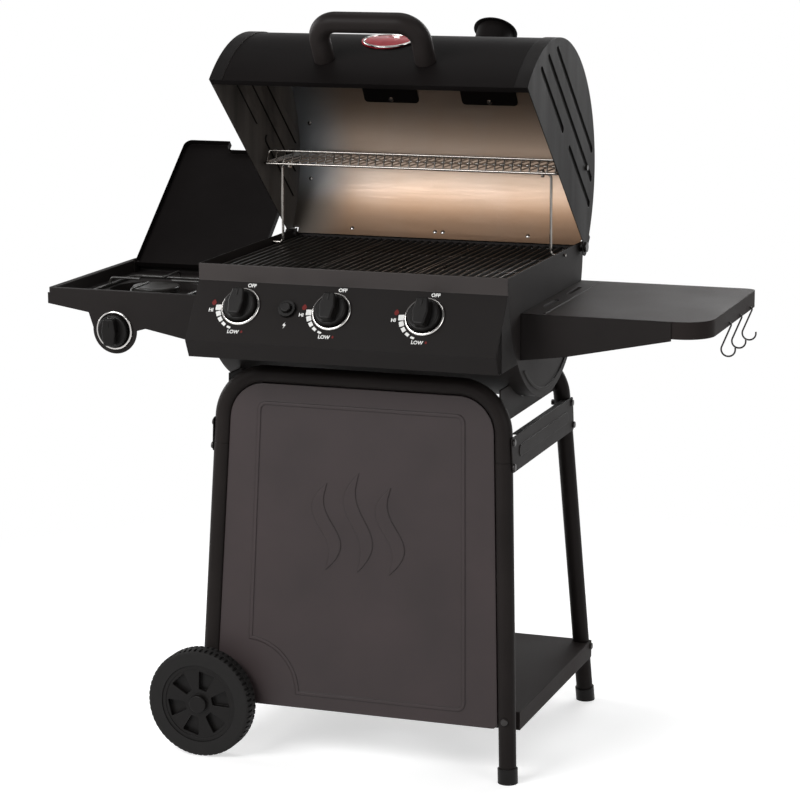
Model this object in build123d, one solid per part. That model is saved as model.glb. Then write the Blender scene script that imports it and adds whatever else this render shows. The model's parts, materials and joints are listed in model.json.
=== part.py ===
from build123d import *
import math
import os

# Gas barbecue grill on a two-wheeled cart, lid and side burner lid standing open.
# Millimetres. X runs to the right, Y to the back, Z up. Sizes are first given from the middle of
# the four feet on the floor, and the whole grill is then set on the bottom centre of its box.

# Sheets, tubes and clearances
sheet = 1.2
plate = 1.6
fit = 0.3
running_gap = 0.5
tube_d = 32.0
tube_wall = 1.5

# Cart frame
leg_flare = 2.0
leg_lean_in = 0.039
foot_reach = 257.0
front_lean = 0.078
rear_lean = 0.153
frame_top_z = 715.0
frame_bend_r = 85.0
seam_z = 583.0
seam_chamfer = 1.0
spigot_length = 45.0
cap_d = 37.0
cap_height = 27.0
cap_floor = 5.0

# Bolts
bolt_d = 6.0
bolt_head_d = 13.0
bolt_head_h = 4.0
nut_across = 11.5
nut_h = 5.0

# Side braces and cradles
brace_z = 597.0
brace_height = 64.0
brace_bolt_pitch = 44.0
brace_end = 8.0
brace_lip = 11.0
cradle_inset = 32.0
cradle_low_z = 648.0
cradle_high_z = 712.0
cradle_plate = 3.0

# Wheels
wheel_r = 102.4
wheel_width = 38.5
wheel_gap = 2.0
rim_r = 73.4
rim_wall = 7.0
rim_width = 35.0
hub_r = 17.0
hub_proud = 6.0
hub_dome = 3.0
web_depth = 3.0
web_thick = 16.0
pocket_count = 6
pocket_turn = 13.0
pocket_deg = 31.0
pocket_inner_r = 28.0
pocket_outer_r = 63.0
pocket_depth = 10.0
pocket_round = 2.5
axle_d = 12.0
axle_end_gap = 4.0
tread_count = 60
tread_cut = 4.5
tread_depth = 2.6
tread_band = 6.4
tyre_round = 7.0

# Bottom shelf
shelf_z = 126.0
shelf_flange = 34.0
shelf_bolt_drop = 10.0
bottle_hole_d = 208.0
bottle_hole_x = 60.0

# Front panel
panel_low_z = 98.0
panel_depth = 18.0
panel_proud = 8.0
panel_foot_r = 10.0
border_top_z = 665.0
border_low_z = 123.0
border_inset_top = 53.7
border_inset_low = 60.9
border_notch_r = 97.0
border_width = 6.0
border_round = 16.0
emboss = 1.6
wave_count = 3
wave_pitch = 62.0
wave_low_z = 362.0
wave_high_z = 545.0
wave_swing = 17.0
wave_width = 30.0
wave_stagger = 22.0
wave_points = 12
wave_taper = 0.8

# Firebox
firebox_half = 294.0
rim_z = 924.0
band_front_y = -258.0
firebox_rear_y = 218.8
firebox_depth = 253.0
end_bead_inset = 12.0
end_bead_width = 6.0
end_bead_proud = 2.2
end_bead_top_z = 742.0
drain_d = 24.0
rear_rim_drop = 7.0

# Control panel
band_height = 31.0
crease_y = -326.0
crease_z = 793.5
lip_y = -310.5
lip_z = 761.0
lip_return = 14.0
knob_along = 49.5
knob_left_inset = 94.0
knob_right_inset = 144.0
knob_count = 3
igniter_step = 90.0
stem_d = 8.0
stem_hole_d = 14.0

# Knobs and bezels
bezel_d = 74.0
bezel_bore = 67.0
bezel_h = 5.0
bezel_round = 3.0
knob_d = 60.0
knob_skirt = 12.0
knob_lift = 2.0
knob_total = 31.0
grip_width = 21.0
grip_bulge = 4.0
grip_round = 6.0
grip_edge = 3.0
pointer_width = 3.0
pointer_length = 12.0
pointer_proud = 0.8
side_knob_inset = 138.5
side_knob_z = 775.5

# Igniter
igniter_d = 24.0
igniter_collar_d = 32.0
igniter_collar_h = 7.0
igniter_length = 38.0
button_d = 19.0
button_proud = 7.0
button_travel = 5.0
button_length = 20.0

# Gas line and burners
manifold_d = 18.0
manifold_wall = 2.0
manifold_back = 27.0
manifold_drop = 27.0
manifold_left_end = 25.0
manifold_right_end = 82.0
manifold_strap = 18.0
strap_inset = 137.0
inlet_d = 15.9
inlet_length = 16.0
inlet_drop = 16.0
inlet_hex = 22.0
inlet_hex_h = 9.0
valve_d = 24.0
valve_length = 30.0
valve_back = 5.0
spud_d = 9.0
spud_entry = 8.0
burner_d = 30.0
burner_wall = 1.5
burner_z = 832.0
burner_front = 14.0
burner_rear_gap = 12.0
electrode_d = 6.0
electrode_length = 60.0
electrode_back = 70.0

# Grates, tents and their rails
grate_count = 3
grate_gap = 1.5
grate_end_gap = 7.0
grate_bars = 13
grate_cross_bars = 4
grate_bar = 6.5
grate_height = 12.0
grate_top_gap = 13.0
ledge_width = 13.0
ledge_height = 3.0
tent_rail_y = 185.0
tent_rail_z = 866.0
tent_rail_height = 4.0
tent_width = 132.0
tent_rise = 22.0
tent_reach = 205.0

# Grease cup
cup_d = 84.0
cup_height = 58.0
cup_lip = 5.0
cup_drop = 24.0
hanger_wire = 4.0
hanger_foot = 22.0

# Lid, given as it lies closed
lid_open_deg = 41.6
hinge_y = 200.0
hinge_z = 915.0
lid_r = 257.0
lid_centre_y = -45.0
lid_centre_z = 898.0
lid_overhang = 9.0
lid_rim_z = 915.0
lid_rear_z = 937.0
lid_tuck_z = 924.0
tuck_end_gap = 3.0
lid_lip = 13.0
lid_wrap = 25.0
liner = 0.8
ear_r = 17.0
groove_width = 14.0
groove_depth = 3.2
groove_pitch = 43.5
groove_low_z = 990.0
groove_count = 3
groove_margin = 24.0
hinge_pin_d = 10.0
hinge_head_d = 19.0
hinge_head_h = 4.5

# Lid fittings
handle_d = 38.0
handle_half = 97.0
handle_stand = 80.0
handle_bend_r = 38.0
handle_deg = 18.0
badge_deg = 35.0
badge_width = 98.0
badge_height = 74.0
badge_thick = 3.0
gauge_deg = 53.0
gauge_d = 66.0
gauge_h = 14.0
gauge_rim = 5.0
gauge_recess = 2.0
gauge_stem_d = 6.0
gauge_stem = 60.0
stack_x = 115.0
stack_d = 70.0
stack_wall = 1.5
stack_height = 78.0
stack_foot_d = 94.0
damper_d = 84.0
damper_thick = 2.0
damper_pin_d = 6.0
damper_pin_inset = 9.0
damper_lug = 9.0
damper_head_d = 13.0
damper_head_h = 4.0

# Warming rack
rack_leg_y = 87.0
rack_rise = 151.0
rack_wire = 5.0
rack_thin = 3.0
rack_side_gap = 8.2
rack_front_y = 54.0
rack_rear_y = 248.0
rack_corner_r = 8.0
rack_edge = 7.0
rack_wires = 35
rack_leg_inset = 24.6
rack_leg_bend = 8.0
rack_lug_thick = 3.0
rack_lug_width = 13.0
rack_eye_gap = 0.75
rack_lug_wire = 15
rack_pin_out = 4.5
rack_cap_d = 10.0
rack_foot_out = 4.5
fence_rise = 24.0
fence_lean = 11.0
fence_rail = 4.2
fence_wire = 2.6
fence_bend = 6.0

# Shelves
side_z = 849.5
side_front_y = -182.0
side_rear_y = 210.0
side_skirt = 31.0
left_shelf_width = 347.0
left_lip = 12.0
left_deck = 24.0
left_corner_r = 9.0
lobe_r = 45.0
apron_left_z = 765.0
apron_step = 16.0
bowl_d = 180.0
bowl_depth = 20.0
side_burner_y = 5.0
side_head_d = 92.0
side_head_h = 12.0
side_ports = 24
side_port_width = 2.0
side_port_depth = 3.0
side_pipe_d = 22.0
side_pipe_bend = 24.0
pan_wire = 6.0
pan_finger_wire = 5.0
pan_half_x = 98.0
pan_half_y = 112.0
pan_corner_r = 22.0
pan_top_gap = 4.0
pan_finger_end = 34.0
pan_finger_bend = 9.0
right_shelf_width = 340.0
right_front_r = 55.0
right_rear_r = 20.0
right_strip = 40.0
right_ridge = 4.0
right_ridge_h = 1.4
slot_length = 78.0
slot_width = 9.0
slot_pitch = 150.0
bracket_reach = 274.0
bracket_low_z = 765.0
bracket_knee = 84.0
bracket_knee_z = 776.0
bracket_tip_z = 815.0
bracket_flange = 22.0

# Side burner lid, given as it lies closed
side_lid_open_deg = 140.0
side_lid_pivot_y = 179.0
side_lid_pivot_z = 846.0
side_lid_margin = 67.0
side_lid_reach = 334.0
side_lid_tail = 6.0
side_lid_top = 6.0
side_lid_wall = 13.0
side_lid_corner_r = 16.0
notch_width = 64.0
notch_depth = 24.0
side_pin_d = 5.0
side_ear = 2.5
side_ear_width = 16.0
side_ear_gap = 1.0
side_ear_rise = 7.0

# Hooks
hook_wire = 3.2
hook_first_y = -17.0
hook_pitch = 86.0
hook_count = 3
hook_hole_d = 5.0
hook_hole_up = 6.0
hook_inside = 6.0
hook_outside = 6.0
hook_tail = 10.0
hook_drop = 62.0
hook_lean = 26.0
hook_bowl = 32.0
hook_rise = 16.0
hook_small_r = 4.5
hook_bowl_r = 12.5

# Worked out from the sizes above
BASE = (Align.CENTER, Align.CENTER, Align.MIN)
tube_r = tube_d / 2
leg_spread = firebox_half + leg_flare
cradle_x = firebox_half - cradle_inset
spigot_d = tube_d - 2 * tube_wall - 2 * fit
leg_bore_r = spigot_d / 2 - tube_wall
brace_face = tube_r + fit
axle_x = -(leg_spread - leg_lean_in * wheel_r)
firebox_front_y = band_front_y + sheet + fit
firebox_y = (firebox_front_y + firebox_rear_y) / 2
firebox_a = (firebox_rear_y - firebox_front_y) / 2
face_top_z = rim_z - band_height
knob_first_x = knob_left_inset - firebox_half
knob_pitch = (2 * firebox_half - knob_left_inset - knob_right_inset) / (knob_count - 1)
knob_xs = [knob_first_x + i * knob_pitch for i in range(knob_count)]
igniter_x = knob_first_x + igniter_step
manifold_left_x = knob_xs[0] - manifold_left_end
manifold_right_x = knob_xs[-1] + manifold_right_end
lid_half = firebox_half + lid_overhang
lid_inner_x = lid_half - sheet
rack_half = lid_inner_x - rack_side_gap
rack_pitch = 2 * (rack_half - rack_edge) / (rack_wires - 1)
rack_leg_x = rack_half - rack_leg_inset
rack_pin_end = lid_half + rack_pin_out
rack_foot_x = firebox_half + rack_foot_out
rack_top_z = hinge_z + rack_rise
rack_frame_z = rack_top_z + rack_wire - fit
rack_lug_x = rack_pitch * rack_lug_wire
grate_top_z = rim_z - grate_top_gap
shelf_half = leg_spread - leg_lean_in * (shelf_z - shelf_flange) + tube_r + 2 * fit + sheet
left_outer_x = -firebox_half - left_shelf_width
right_outer_x = firebox_half + right_shelf_width
side_knob_x = left_outer_x + side_knob_inset
side_lid_right_x = -firebox_half - side_lid_margin
deck_z = side_z - left_deck
side_burner_x = side_knob_x
side_lid_left_x = left_outer_x + left_lip + side_ear + side_ear_gap
shelf_bolt_z = shelf_z - shelf_bolt_drop
panel_top_z = frame_top_z - tube_r - fit - running_gap
hinge_line = Axis((0, hinge_y, hinge_z), (1, 0, 0))


def rod(start, end, diameter):
    """Round bar from one point to another."""
    start = Vector(start)
    end = Vector(end)
    length = (end - start).length
    return Plane(origin=start, z_dir=end - start) * Cylinder(diameter / 2, length, align=BASE)


def pipe(path, diameter, wall=0.0):
    """Round bar or tube along a path."""
    section = Plane(origin=path @ 0, z_dir=path % 0)
    solid = sweep(section * Circle(diameter / 2), path=path)
    if wall:
        solid -= sweep(section * Circle(diameter / 2 - wall), path=path)
    return solid


def block(x_low, x_high, y_low, y_high, z_low, z_high):
    """Plain box between its lowest and highest corners."""
    size = Box(x_high - x_low, y_high - y_low, z_high - z_low, align=(Align.MIN,) * 3)
    return Pos(x_low, y_low, z_low) * size


def outline(*points):
    return make_face(Polyline(*points, close=True))


def rounded_outline(points, radius):
    return make_face(FilletPolyline(*points, radius=radius, close=True))


def slab(face, z_low, z_high):
    """Upright prism of an outline in X and Y."""
    return extrude(Pos(0, 0, z_low) * face, z_high - z_low)


def side_slab(face, x_low, x_high):
    """Prism across the grill of an outline in Y and Z."""
    return extrude(Plane.YZ.offset(x_low) * face, x_high - x_low)


def front_slab(face, y_front, y_back):
    """Prism from back to front of an outline in X and Z."""
    back = Plane(origin=(0, y_back, 0), x_dir=(1, 0, 0), z_dir=(0, -1, 0))
    return extrude(back * face, y_back - y_front)


def strip(points, thickness):
    """Section of a folded sheet: a line of points, thickened to its left."""
    line = [Vector(*p) for p in points]
    runs = [(b - a).normalized() for a, b in zip(line, line[1:])]
    normals = [Vector(-run.Y, run.X) for run in runs]
    before = [normals[0]] + normals
    after = normals + [normals[-1]]
    inner = []
    for point, first, second in zip(line, before, after):
        inner.append(point + (first + second) * (thickness / (1 + first.dot(second))))
    return outline(*line, *reversed(inner))


def both_sides(part):
    """A piece for the right-hand side and its mirror image."""
    return part, mirror(part, about=Plane.YZ)


def below(z):
    """Everything lower than a height, for cutting feet off level."""
    reach = 4 * leg_spread
    return block(-reach, reach, -reach, reach, z - reach, z)


def lid_place(part):
    """Turn a piece of the closed lid to its open rest."""
    return part.rotate(hinge_line, -lid_open_deg)


# Legs and frames


def leg_point(side, end, z):
    """Middle of a leg at a height; side -1 left, 1 right, end -1 front, 1 rear."""
    lean = front_lean if end < 0 else rear_lean
    return Vector(side * (leg_spread - leg_lean_in * z), end * (foot_reach - lean * z), z)


def frame_plane(end):
    """Leaning plane of a frame, its height measured along the lean."""
    lean = front_lean if end < 0 else rear_lean
    up = Vector(0, -end * lean, 1)
    return Plane(origin=(0, end * foot_reach, 0), x_dir=(1, 0, 0), z_dir=Vector(1, 0, 0).cross(up))


def frame_stretch(end):
    return math.hypot(1, front_lean if end < 0 else rear_lean)


def frame_x(z):
    return leg_spread - leg_lean_in * z


def frame_path(end):
    stretch = frame_stretch(end)
    low = seam_z * stretch
    high = frame_top_z * stretch
    points = [
        (-frame_x(seam_z), low),
        (-frame_x(frame_top_z), high),
        (frame_x(frame_top_z), high),
        (frame_x(seam_z), low),
    ]
    return frame_plane(end) * FilletPolyline(*points, radius=frame_bend_r)


def side_normal(side):
    """Direction straight out of the leaning side of the cart."""
    return Vector(side, 0, leg_lean_in).normalized()


def bolt(head_at, direction, grip):
    """Bolt with its head on one face and its nut on the other."""
    seat = Plane(origin=head_at, z_dir=direction)
    head = seat * Pos(0, 0, -bolt_head_h) * Cylinder(bolt_head_d / 2, bolt_head_h, align=BASE)
    shank = seat * Cylinder(bolt_d / 2, grip + nut_h, align=BASE)
    nut = seat * Pos(0, 0, grip) * extrude(RegularPolygon(nut_across / 2, 6), nut_h)
    crown = head.edges().group_by(SortBy.LENGTH)[-1]
    crown = crown.sort_by(Axis(Vector(head_at), -Vector(direction)))[-1]
    return fillet(crown, bolt_head_h / 2) + shank + nut


def bolt_hole(head_at, direction, depth):
    direction = Vector(direction).normalized()
    head_at = Vector(head_at)
    return rod(head_at - direction * bolt_head_h, head_at + direction * depth, bolt_d + 2 * fit)


def brace_bolts():
    """Head place, direction and grip of each brace bolt; the front ones hold the panel as well."""
    places = []
    for side in (-1, 1):
        out = side_normal(side)
        for end in (-1, 1):
            for step in (-0.5, 0.5):
                middle = leg_point(side, end, brace_z + step * brace_bolt_pitch)
                grip = tube_d + 2 * fit + plate
                if end < 0:
                    grip += sheet + fit
                places.append((middle + out * (brace_face + plate), -out, grip))
    return places


shelf_front_y = leg_point(1, -1, shelf_z).Y + tube_r + running_gap
shelf_rear_y = leg_point(1, 1, shelf_bolt_z).Y + nut_across / 2 + running_gap + sheet


def shelf_bolts():
    """Bolts of the bottom shelf; beside the front wheel the nut is inside the leg."""
    right = leg_point(1, -1, shelf_bolt_z)
    head = right - Vector(0, tube_r + fit + front_lean * bolt_head_d / 2, 0)
    left = leg_point(-1, -1, shelf_bolt_z)
    flange = Vector(left.X, shelf_front_y + sheet, shelf_bolt_z)
    seat = math.sqrt(leg_bore_r**2 - (nut_across / 2) ** 2) - running_gap
    places = [
        (head, Vector(0, 1, 0), flange.Y - head.Y),
        (flange, Vector(0, -1, 0), flange.Y - left.Y - seat),
    ]
    for side in (-1, 1):
        rear = leg_point(side, 1, shelf_bolt_z)
        head = Vector(side * shelf_half, rear.Y, rear.Z)
        places.append((head, Vector(-side, 0, 0), shelf_half - abs(rear.X) + tube_r + fit))
    return places


def frame_bolts():
    bolts = [bolt(*place) for place in brace_bolts() + shelf_bolts()]
    return Compound(children=bolts)


def bolt_holes(places):
    return [bolt_hole(head, direction, grip + nut_h) for head, direction, grip in places]


def upper_frame(end):
    frame = pipe(frame_path(end), tube_d, tube_wall)
    return frame - bolt_holes(brace_bolts())


def axle_line(diameter):
    """Round bar through both left legs, for the axle's holes."""
    return rod((axle_x, -2 * foot_reach, wheel_r), (axle_x, 2 * foot_reach, wheel_r), diameter)


def lower_leg(side, end):
    low_z = wheel_r - tube_r - cap_floor if side < 0 else cap_floor
    foot = leg_point(side, end, low_z - tube_d)
    seam = leg_point(side, end, seam_z)
    tip = leg_point(side, end, seam_z + spigot_length)
    leg = rod(foot, seam, tube_d)
    leg = chamfer(leg.edges().sort_by(Axis.Z)[-1], seam_chamfer)
    leg += rod(seam, tip, spigot_d)
    leg -= rod(foot, tip, 2 * leg_bore_r)
    leg -= below(low_z)
    leg -= bolt_holes(brace_bolts() + shelf_bolts())
    if side < 0:
        leg -= axle_line(axle_d + 2 * fit)
    return leg


def foot_caps():
    caps = []
    for end in (-1, 1):
        low = leg_point(1, end, -cap_d)
        cap = rod(low, leg_point(1, end, cap_height), cap_d)
        cap -= rod(low, leg_point(1, end, 2 * cap_height), tube_d + 2 * fit) - below(cap_floor)
        caps.append(cap - below(0))
    return Compound(children=caps)


def side_brace():
    """Channel outside the two right-hand legs."""
    origin = leg_point(1, 0, brace_z)
    origin = Vector(origin.X, 0, brace_z) + side_normal(1) * brace_face
    face_plane = Plane(origin=origin, x_dir=(0, 1, 0), z_dir=side_normal(1))
    front = leg_point(1, -1, brace_z).Y - brace_end
    rear = leg_point(1, 1, brace_z).Y + brace_end
    middle = (front + rear) / 2
    web = RectangleRounded(rear - front, brace_height, bolt_head_d / 2)
    brace = extrude(face_plane * Pos(middle, 0) * web, plate)
    lip_length = rear - front - 2 * (brace_end + tube_d)
    for edge in (-1, 1):
        lip = Pos(middle, edge * (brace_height - plate) / 2) * Rectangle(lip_length, plate)
        brace += extrude(face_plane * lip, -brace_lip)
    rib = Pos(middle, 0) * SlotOverall(lip_length, brace_height / 3)
    brace += extrude(face_plane.offset(plate) * rib, emboss)
    return brace - bolt_holes(brace_bolts())


def cradles():
    """Plates that carry the firebox between the two frames."""
    low = cradle_low_z
    high = cradle_high_z
    front = [leg_point(1, -1, z).Y for z in (low, high)]
    rear = [leg_point(1, 1, z).Y for z in (low, high)]
    face = outline((front[0], low), (rear[0], low), (rear[1], high), (front[1], high))
    face -= firebox_half_ellipse(fit)
    cradle = side_slab(face, cradle_x - cradle_plate / 2, cradle_x + cradle_plate / 2)
    for end in (-1, 1):
        cradle -= pipe(frame_path(end), tube_d + 2 * fit)
    return Compound(children=[solid for part in both_sides(cradle) for solid in part.solids()])


# Wheels


def along_axle(part, front_y):
    """Set a piece made with its front up at the place of a wheel."""
    return Pos(axle_x, front_y, wheel_r) * Rot(90, 0, 0) * part


def wheel_fronts():
    """Outer faces of the two wheels, clear of the leaning legs."""
    fronts = []
    for end, lean in ((-1, front_lean), (1, rear_lean)):
        clear = tube_r + wheel_gap + lean * (tube_r + cap_floor)
        fronts.append(leg_point(-1, end, wheel_r).Y + end * (clear + wheel_width))
    return fronts


def wheel_rim():
    """Rim with its front at the top of the wheel's width and closed pockets in its web."""
    low = -(wheel_width + rim_width) / 2
    ring = Pos(0, 0, low) * Cylinder(rim_r, rim_width, align=BASE)
    ring -= Pos(0, 0, low) * Cylinder(rim_r - rim_wall, rim_width, align=BASE)
    web = Pos(0, 0, -web_depth - web_thick) * Cylinder(rim_r - rim_wall / 2, web_thick, align=BASE)
    half = math.radians(pocket_deg / 2)
    points = [
        (pocket_inner_r * math.cos(half), -pocket_inner_r * math.sin(half)),
        (pocket_outer_r * math.cos(half), -pocket_outer_r * math.sin(half)),
        (pocket_outer_r * math.cos(half), pocket_outer_r * math.sin(half)),
        (pocket_inner_r * math.cos(half), pocket_inner_r * math.sin(half)),
    ]
    pocket = slab(rounded_outline(points, pocket_round), -web_depth - pocket_depth, 0)
    for i in range(pocket_count):
        web -= Rot(0, 0, pocket_turn + i * 360 / pocket_count) * pocket
    hub = Pos(0, 0, -wheel_width) * Cylinder(hub_r, wheel_width + hub_proud, align=BASE)
    hub = fillet(hub.edges().sort_by(Axis.Z)[-1], hub_dome)
    rim = ring + web + hub
    bore = wheel_width - axle_end_gap
    return rim - Pos(0, 0, -wheel_width) * Cylinder(axle_d / 2 + fit, bore, align=BASE)


def wheel_tyre():
    """Tyre with blocks cut alternately from its two shoulders, leaving a band in the middle."""
    tyre = Cylinder(wheel_r, wheel_width, align=BASE)
    tyre = fillet(tyre.edges().filter_by(GeomType.CIRCLE), tyre_round)
    tyre -= Cylinder(rim_r + fit, wheel_width, align=BASE)
    turn = 360 / tread_count
    start = (wheel_width + tread_band) / 2
    cut = Pos(wheel_r, 0) * Box(2 * tread_depth, tread_cut, wheel_width, align=BASE)
    cuts = []
    for i in range(tread_count):
        cuts.append(Rot(0, 0, i * turn) * Pos(0, 0, -start) * cut)
        cuts.append(Rot(0, 0, (i + 0.5) * turn) * Pos(0, 0, start) * cut)
    return Pos(0, 0, -wheel_width) * (tyre - cuts)


def wheel_axle():
    front, rear = wheel_fronts()
    gap = axle_end_gap + running_gap
    return rod((axle_x, front + gap, wheel_r), (axle_x, rear - gap, wheel_r), axle_d)


# Bottom shelf and front panel


def bottom_shelf():
    depth = shelf_rear_y - shelf_front_y
    middle = (shelf_rear_y + shelf_front_y) / 2
    pan = Pos(0, middle, shelf_z - shelf_flange) * Box(2 * shelf_half, depth, shelf_flange, align=BASE)
    hollow = Box(2 * shelf_half - 2 * sheet, depth - 2 * sheet, shelf_flange - sheet, align=BASE)
    pan -= Pos(0, middle, shelf_z - shelf_flange) * hollow
    pan -= Pos(bottle_hole_x, middle, 0) * Cylinder(bottle_hole_d / 2, 2 * shelf_z, align=BASE)
    for side in (-1, 1):
        leg = rod(leg_point(side, 1, 0), leg_point(side, 1, 2 * shelf_z), tube_d + 2 * running_gap)
        pan -= leg
    pan -= axle_line(axle_d + 2 * running_gap)
    return pan - bolt_holes(shelf_bolts())


def panel_edge(z):
    """Half width of the front panel, clear of the leg beside it."""
    lean = math.hypot(1, leg_lean_in)
    return frame_x(z) - (tube_r + fit) * lean


def heat_wave(stretch, middle_x, low_z, high_z):
    """One rising wave, pointed at both ends."""
    left = []
    right = []
    for i in range(wave_points + 1):
        t = i / wave_points
        x = middle_x + wave_swing * math.sin(2 * math.pi * t)
        half = wave_width / 2 * math.sin(math.pi * t) ** wave_taper
        z = (low_z + (high_z - low_z) * t) * stretch
        left.append((x - half, z))
        right.append((x + half, z))
    return make_face(Spline(*left) + Spline(*right))


def front_panel():
    """Pressed pan between the front legs, with a raised border and three heat waves."""
    stretch = frame_stretch(-1)
    plane = frame_plane(-1)
    corner = frame_bend_r - tube_r - fit - running_gap
    points = [
        (-panel_edge(panel_low_z), panel_low_z * stretch),
        (panel_edge(panel_low_z), panel_low_z * stretch),
        (panel_edge(panel_top_z), panel_top_z * stretch),
        (-panel_edge(panel_top_z), panel_top_z * stretch),
    ]
    face = rounded_outline(points, [panel_foot_r, panel_foot_r, corner, corner])
    front = plane.offset(panel_proud)
    panel = extrude(front * face, -panel_depth)
    inner = offset(face, -sheet)
    panel -= extrude(plane.offset(panel_proud - sheet) * inner, -panel_depth)
    border_half_low = panel_edge(border_low_z) - border_inset_low
    border_half_top = panel_edge(border_top_z) - border_inset_top
    border = [
        (-border_half_low, border_low_z * stretch),
        (border_half_low, border_low_z * stretch),
        (border_half_top, border_top_z * stretch),
        (-border_half_top, border_top_z * stretch),
    ]
    field = rounded_outline(border, border_round)
    field -= Pos(-border_half_low, border_low_z * stretch) * Circle(border_notch_r)
    bead = field - offset(field, -border_width)
    panel += extrude(front * bead, emboss)
    for i in range(wave_count):
        step = i - (wave_count - 1) / 2
        rise = wave_stagger * (1 - abs(step))
        wave = heat_wave(stretch, step * wave_pitch, wave_low_z, wave_high_z - wave_stagger + rise)
        panel += extrude(front * wave, emboss)
    return panel - bolt_holes(brace_bolts())


# Firebox


def firebox_half_ellipse(grow):
    """Lower half of the firebox's round section, in Y and Z."""
    a = firebox_a + grow
    b = firebox_depth + grow
    lower = Pos(0, -b / 2) * Rectangle(3 * a, b)
    return Pos(firebox_y, rim_z) * (Ellipse(a, b) & lower)


def firebox_width_at(z, grow=0.0):
    """Half the firebox's depth from front to rear at a height."""
    share = (rim_z - z) / (firebox_depth + grow)
    return (firebox_a + grow) * math.sqrt(1 - share**2)


burner_start_y = firebox_y - firebox_width_at(burner_z) - burner_front
end_inner_x = firebox_half - plate


def firebox_shell():
    """Round trough between the end plates, lower at the rear where the lid tucks in."""
    shell = side_slab(firebox_half_ellipse(0) - firebox_half_ellipse(-plate), -end_inner_x, end_inner_x)
    for x in knob_xs:
        shell -= rod((x, burner_start_y - burner_d, burner_z), (x, firebox_y, burner_z), burner_d + 2 * fit)
    rear_y = firebox_y + 2 * firebox_a
    shell -= block(-firebox_half, firebox_half, firebox_y, rear_y, rim_z - rear_rim_drop, rim_z)
    low = rim_z - firebox_depth
    return shell - rod((0, firebox_y, low - plate), (0, firebox_y, low + 2 * plate), drain_d)


def firebox_end():
    """Right-hand end plate with a bead along its round edge."""
    end = side_slab(firebox_half_ellipse(0), end_inner_x, firebox_half)
    bead = firebox_half_ellipse(-end_bead_inset) - firebox_half_ellipse(-end_bead_inset - end_bead_width)
    bead = side_slab(bead, firebox_half, firebox_half + end_bead_proud)
    reach = 2 * firebox_half
    end += bead & block(0, reach, -reach, reach, 0, end_bead_top_z)
    end -= rod((0, hinge_y, hinge_z), (reach, hinge_y, hinge_z), hinge_pin_d + 2 * fit)
    end -= rod((0, rack_leg_y, hinge_z), (reach, rack_leg_y, hinge_z), rack_wire + 2 * running_gap)
    return end


# Control panel with its knobs, valves, igniter and burners

face_run = Vector(0, crease_y - band_front_y, crease_z - face_top_z)
face_down = face_run.normalized()
face_out = Vector(0, face_down.Z, -face_down.Y)
face_plane = Plane(origin=(0, band_front_y, face_top_z), x_dir=(1, 0, 0), z_dir=face_out)


def on_face(x, along, height=0.0):
    """Place on the sloping face, its Z straight out of the face."""
    return face_plane * Pos(x, -along, height)


def face_point(x, along, height):
    return on_face(x, along, height).position


def control_panel():
    """Folded front with closed ends."""
    fold = [
        (band_front_y, rim_z),
        (band_front_y, face_top_z),
        (crease_y, crease_z),
        (lip_y, lip_z),
        (lip_y + lip_return, lip_z),
    ]
    panel = side_slab(strip(fold, sheet), -firebox_half, firebox_half)
    back = firebox_y - firebox_width_at(lip_z, running_gap)
    cheek = outline(*fold[:4], (back, lip_z), (firebox_y, rim_z)) - firebox_half_ellipse(running_gap)
    below_rim = Rectangle(2 * firebox_half, rim_z, align=(Align.CENTER, Align.MIN))
    cheek = side_slab(cheek & below_rim, firebox_half - sheet, firebox_half)
    for side in both_sides(cheek):
        panel += side
    for x in knob_xs:
        hole = Cylinder(stem_hole_d / 2, 2 * valve_length, align=BASE)
        panel -= on_face(x, knob_along, -valve_length) * hole
    igniter = Cylinder(igniter_d / 2 + fit, 2 * valve_length, align=BASE)
    return panel - on_face(igniter_x, knob_along, -valve_length) * igniter


def knob_bezel():
    """Polished ring with a rolled edge."""
    ring = Cylinder(bezel_d / 2, bezel_h, align=BASE)
    ring = fillet(ring.edges().sort_by(Axis.Z)[-1], bezel_round)
    return ring - Cylinder(bezel_bore / 2, bezel_h, align=BASE)


def knob():
    """Round knob with a raised finger grip and a bore for the valve stem."""
    base = Pos(0, 0, knob_lift) * Cylinder(knob_d / 2, knob_skirt, align=BASE)
    base = fillet(base.edges().sort_by(Axis.Z)[-1], knob_skirt / 3)
    half = knob_d / 2 - grip_bulge
    waist = grip_width / 2
    points = [(-waist, -half), (waist, -half), (waist + grip_bulge, 0), (waist, half), (-waist, half)]
    points.append((-waist - grip_bulge, 0))
    grip = extrude(rounded_outline(points, grip_round), knob_total - knob_skirt)
    grip = fillet(grip.edges().group_by(Axis.Z)[-1], grip_edge)
    pointer = Pos(0, half - waist, knob_total) * Box(pointer_width, pointer_length, 2 * pointer_proud)
    knob_solid = base + Pos(0, 0, knob_skirt) * grip + pointer
    bore = knob_total / 2 + knob_lift
    return knob_solid - Cylinder(stem_d / 2 + fit, bore, align=BASE)


def side_face(part):
    """Set a piece on the apron of the left shelf, facing the front."""
    return Pos(side_knob_x, side_front_y, side_knob_z) * Rot(90, 0, 0) * part


def knob_bezels():
    rings = [on_face(x, knob_along) * knob_bezel() for x in knob_xs]
    rings.append(side_face(knob_bezel()))
    return Compound(children=rings)


def valve_core():
    """Valve body behind its panel and the stem in front."""
    body = Pos(0, 0, -valve_back - valve_length) * Cylinder(valve_d / 2, valve_length, align=BASE)
    collar = Pos(0, 0, -valve_back) * Cylinder(valve_d / 3, valve_back - sheet, align=BASE)
    stem = Pos(0, 0, -valve_back) * Cylinder(stem_d / 2, valve_back + knob_total / 2, align=BASE)
    return body + collar + stem


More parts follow.
